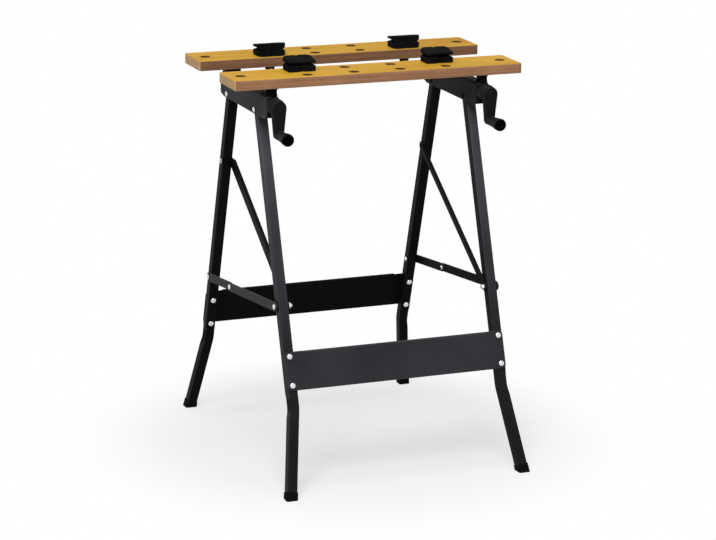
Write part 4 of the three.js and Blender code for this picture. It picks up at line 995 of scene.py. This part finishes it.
# Pins whose shanks and tails inside the legs get the coat with painted shade
COATED_PAINTED_SHADE_TAILS = ("front_leg_pin", "rear_leg_pin", "strut_pin")
for word, side in SIDES:
    inner, outer = SIDE_X - LEG_HALF, SIDE_X + LEG_HALF
    pins = (
        *((f"{row}_leg_pin", "top_frame", SIDE_X + CHANNEL_HALF, SIDE_X - CHANNEL_HALF, on_leg(row, 0), True)
          for row in FRAMES),
        ("front_stay_pin", "front_legs", STAY_FRONT_X + STAY_SHEET, inner, STRUT_FOOT, False),
        ("rear_stay_pin", "rear_legs", STAY_REAR_X + STAY_SHEET, inner, STAY_TOP, True),
        ("strut_pin", "rear_legs", outer, STRUT_X - SHEET, STRUT_TOP, True),
        ("knee_rivet", f"stay_front_{word}", STAY_FRONT_X + STAY_SHEET, STAY_REAR_X, KNEE, True))
    for name, body, far, near, spot, tail in pins:
        finish = THREAD if name == "strut_pin" else ZINC
        make(f"{name}_head_{word}", pin_skin(side, far, near, spot, tail), body, (finish, PAINTED_SHADE_COAT),
             (f"{name}_{word}",),
             pick=lambda normals, middles: (middles[:, 0] * side < SIDE_X) & (name in COATED_PAINTED_SHADE_TAILS))
    make(f"stay_ring_{word}", washer_skin(side, STRUT_FOOT), "front_legs", (PLASTIC,),
         (f"stay_washer_{word}",))


# Bench dogs

def dog_outline(z):
    """Outline of a dog at a height: a clamping face with a V-notch and fine upright ribs, bevelled
    corners, ends that run in at the V-groove and under the foot, and a back that is notched below
    the groove and plain above it, each held off by the groove's own slope."""
    rise = abs(z - DOG_GROOVE) / DOG_GROOVE_HALF
    half = DOG_HALF - max(0.0, 1 - rise) * DOG_GROOVE_DEPTH - max(0.0, DOG_FOOT_BEVEL - z)
    x = np.linspace(-DOG_FACE_HALF, DOG_FACE_HALF, 89)
    ridged = (np.abs(x) > RIDGE_START) & (np.abs(x) < RIDGE_END)
    ridges = RIDGE_DEPTH * (0.5 - 0.5 * np.cos(2 * np.pi * x / RIDGE_PITCH)) * ridged
    face = join(x, DOG_FACE - np.maximum(0, FACE_NOTCH - np.abs(x)) - ridges)
    bevel_end = np.array([half, min(DOG_FACE, DOG_FACE - DOG_BEVEL + DOG_HALF - half)])
    bevel = face[-1] + (bevel_end - face[-1]) * np.linspace(0, 1, 5)[1:, None]
    back_x = half * np.cos(np.linspace(0, np.pi, 81))
    out = np.abs(back_x)
    reach, corner = (DOG_BACK, DOG_FOOT_CORNER) if z < DOG_GROOVE else (DOG_TOP_BACK, DOG_TOP_CORNER)
    past = np.maximum(out - DOG_HALF + corner, 0)
    tier = corner - reach - np.sqrt(np.maximum(corner ** 2 - past ** 2, 0))
    if z < DOG_GROOVE:
        tier += DOG_NOTCH_DEPTH * np.maximum(1 - out / DOG_NOTCH_HALF, 0)
    slope = -DOG_WAIST - (reach - DOG_WAIST) * rise
    back = join(back_x, np.maximum(tier, slope))
    side = bevel_end + (back[0] - bevel_end) * np.linspace(0, 1, 9)[1:, None]
    mirrored = np.concatenate([bevel, side[:-1]])[::-1] * [-1, 1]
    return np.concatenate([face, bevel, side[:-1], back, mirrored])


def dog_skin(place_x, place_y, turn):
    """Dog: its outlines stacked from the foot to a top that falls to the back, a rib and a split hollow
    stem.

    Each row gives a share of the way out from the spine, a height, how far the row climbs from
    there to the top, and an edge value.
    """
    rows = [(0.0, 0.0, 0.0, 0), (0.95, 0.0, 0.0, 0), (0.985, 0.0, 0.0, 1), (1.0, 0.5, 0.0, 1)]
    rows += [(1.0, z, 0.0, e) for z, e in (
        (1.5, 0), (2.5, 0.8), (3.0, 0.4), (5.0, 0), (7.8, 0), (9.6, 0.4), (10.2, 1), (10.8, 0.3), (12.4, 0),
        (13.3, 0), (13.7, 0), (14.1, 0), (15.4, 0), (16.6, 0.3), (DOG_RIM, 1))]
    rows += [(share, DOG_RIM, climb, e) for share, climb, e in (
        (1.0, 0.12, 0), (1.0, 0.55, 0), (0.995, 0.78, 0.5), (0.98, 0.92, 1), (0.955, 0.985, 1),
        (0.925, 1.0, 0.5), (0.88, 1.0, 0), (0.0, 1.0, 0))]
    layers = []
    for share, z, climb, _ in rows:
        flat = dog_outline(z)
        spine = join(0.9 * np.clip(flat[:, 0], -DOG_SPINE_HALF, DOG_SPINE_HALF), DOG_SPINE_Y)
        flat = spine + (flat - spine) * share
        top = DOG_TOP - DOG_FALL * (DOG_FACE - flat[:, 1])
        layers.append(lift(flat, z + climb * (top - z)))
    skin = Skin().grid(np.stack(layers), [edge for *_, edge in rows])

    def stack(core, section, levels):
        skin.grid(np.stack([lift(core + (section - core) * share, z) for share, z in levels]))

    middle = np.array([0, RIB_MIDDLE])
    stack(middle, middle + square_profile(1.0, 0.3, 0.2)[0] * [RIB_HALF, RIB_REACH], (
        (0.0, GAP), (0.9, GAP), (1.0, 0.8), (1.0, RIB_HIGH - 0.5), (0.9, RIB_HIGH), (0.0, RIB_HIGH)))
    for middle_angle in (0.0, np.pi):
        spread = middle_angle + np.linspace(-STEM_SPREAD, STEM_SPREAD, 25)
        ray = join(np.cos(spread), np.sin(spread))
        core = (STEM_OUTER + STEM_INNER) / 2 * np.concatenate([ray, ray[::-1]])
        stack(core, np.concatenate([STEM_OUTER * ray, STEM_INNER * ray[::-1]]), (
            (0.0, 0.4), (1.0, 0.4), (1.0, STEM_LOW + 1.5), (0.75, STEM_LOW + 0.3), (0.6, STEM_LOW),
            (0.0, STEM_LOW)))
    spin = np.array([[math.cos(turn), math.sin(turn), 0], [-math.sin(turn), math.cos(turn), 0], [0, 0, 1]])
    skin.points = [points @ spin + [place_x, place_y, TOP + GAP] for points in skin.points]
    return skin


for row, y, turn in (("front", FRONT_JAW_Y + ROW_Y, 0.0), ("rear", REAR_JAW_Y - ROW_Y, math.pi)):
    for word, side in SIDES:
        make(f"dog_block_{row}_{word}", dog_skin(side * 1.5 * HOLE_PITCH, y, turn), f"bench_dog_{row}_{word}",
             (DOG_PLASTIC,), (f"dog_{row}_{word}",), crease=28)


# Solids that keep their own shape

KEPT = {"carriage": PLASTIC, "spindle_collar": ZINC, "jaw_bolt": ZINC}
for name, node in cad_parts.items():
    for start, finish in KEPT.items():
        if name.startswith(start):
            node.data.materials.clear()
            node.data.materials.append(finish)


# Camera, light and floor

def add_camera():
    """Camera where the picture was taken from: its view runs down and to the right, with a small roll."""
    ahead = Vector(CAMERA_AHEAD).normalized()
    right = ahead.cross(Vector((0, 0, 1))).normalized()
    up = right.cross(ahead)
    c, s = math.cos(math.radians(CAMERA_ROLL)), math.sin(math.radians(CAMERA_ROLL))
    right, up = c * right + s * up, c * up - s * right
    data = bpy.data.cameras.new("camera")
    data.lens, data.sensor_width = CAMERA_LENS, CAMERA_SENSOR
    camera = add_object("camera", data)
    axes = Matrix((right, up, -ahead)).transposed().to_4x4()
    axes.translation = Vector(CAMERA_PLACE)
    camera.matrix_world = axes
    bpy.context.scene.camera = camera


def add_lamp(name, place, aim, size, power):
    """Soft square lamp that faces a place."""
    data = bpy.data.lights.new(name, "AREA")
    data.size, data.energy = size, power
    lamp = add_object(name, data)
    lamp.location = place
    lamp.rotation_euler = (Vector(aim) - Vector(place)).to_track_quat("-Z", "Y").to_euler()


def shown(finish):
    """1 for what the eye, a reflection or a clear body sees, 0 for what only lights other things."""
    seen, glossy, clear = [finish.node("ShaderNodeLightPath", output=f"Is {way} Ray")
                           for way in ("Camera", "Glossy", "Transmission")]
    return seen.reckon("MAXIMUM", seen.reckon("MAXIMUM", seen, glossy), clear)


def add_floor():
    """Pale floor that keeps the shadow under the bench and turns to plain white away from it."""
    finish = Finish("floor", roughness=0.9, specular=0.0)
    from_middle = finish.node("ShaderNodeVectorMath", {"operation": "LENGTH"}, {0: finish.spot()}, "Value")
    seen = shown(finish)
    pale = finish.mix(seen, rgba(0.32, 0.32, 0.32), rgba(0.95, 0.95, 0.95))
    finish.set(**{"Base Color": pale})
    bare = (1 - SHADOW + finish.between(from_middle, SHADOW_NEAR, SHADOW_FAR) * SHADOW) * seen
    glow = finish.node("ShaderNodeEmission", {}, {"Color": rgba(1, 1, 1), "Strength": 1.0})
    mixed = finish.node("ShaderNodeMixShader", {}, {
        0: bare, 1: Shade(finish, finish.surface.outputs[0]), 2: glow})
    finish.feed(finish.tree.nodes["Material Output"].inputs["Surface"], mixed)
    reach = np.linspace(-FLOOR_REACH, FLOOR_REACH, 3)
    mesh = bpy.data.meshes.new("floor")
    mesh.from_pydata(lift(cells(reach, reach), FLOOR_Z).reshape(-1, 3).tolist(), [], [
        (0, 3, 4, 1), (3, 6, 7, 4), (1, 4, 5, 2), (4, 7, 8, 5)])
    mesh.materials.append(finish.material)
    floor = add_object("floor", mesh)


def add_surroundings():
    """White to the eye and in reflections, a soft grey as light."""
    world = bpy.data.worlds.new("surroundings")
    world.use_nodes = True
    bpy.context.scene.world = world
    around = Nodes(world.node_tree)
    soft, white = [around.node("ShaderNodeBackground", {}, {"Color": rgba(1, 1, 1), "Strength": strength})
                   for strength in (AMBIENT, 1.0)]
    mixed = around.node("ShaderNodeMixShader", {}, {0: shown(around), 1: soft, 2: white})
    around.feed(around.tree.nodes["World Output"].inputs["Surface"], mixed)


add_camera()
add_lamp("key", place=(-1.9, -3.3, 5.4), aim=(0, 0, 0.5), size=3.2, power=270)
add_lamp("above", place=(-0.1, -0.3, 6.4), aim=(0, 0, 0.4), size=2.6, power=70)
add_floor()
add_surroundings()
bpy.context.scene.view_settings.view_transform = "Standard"
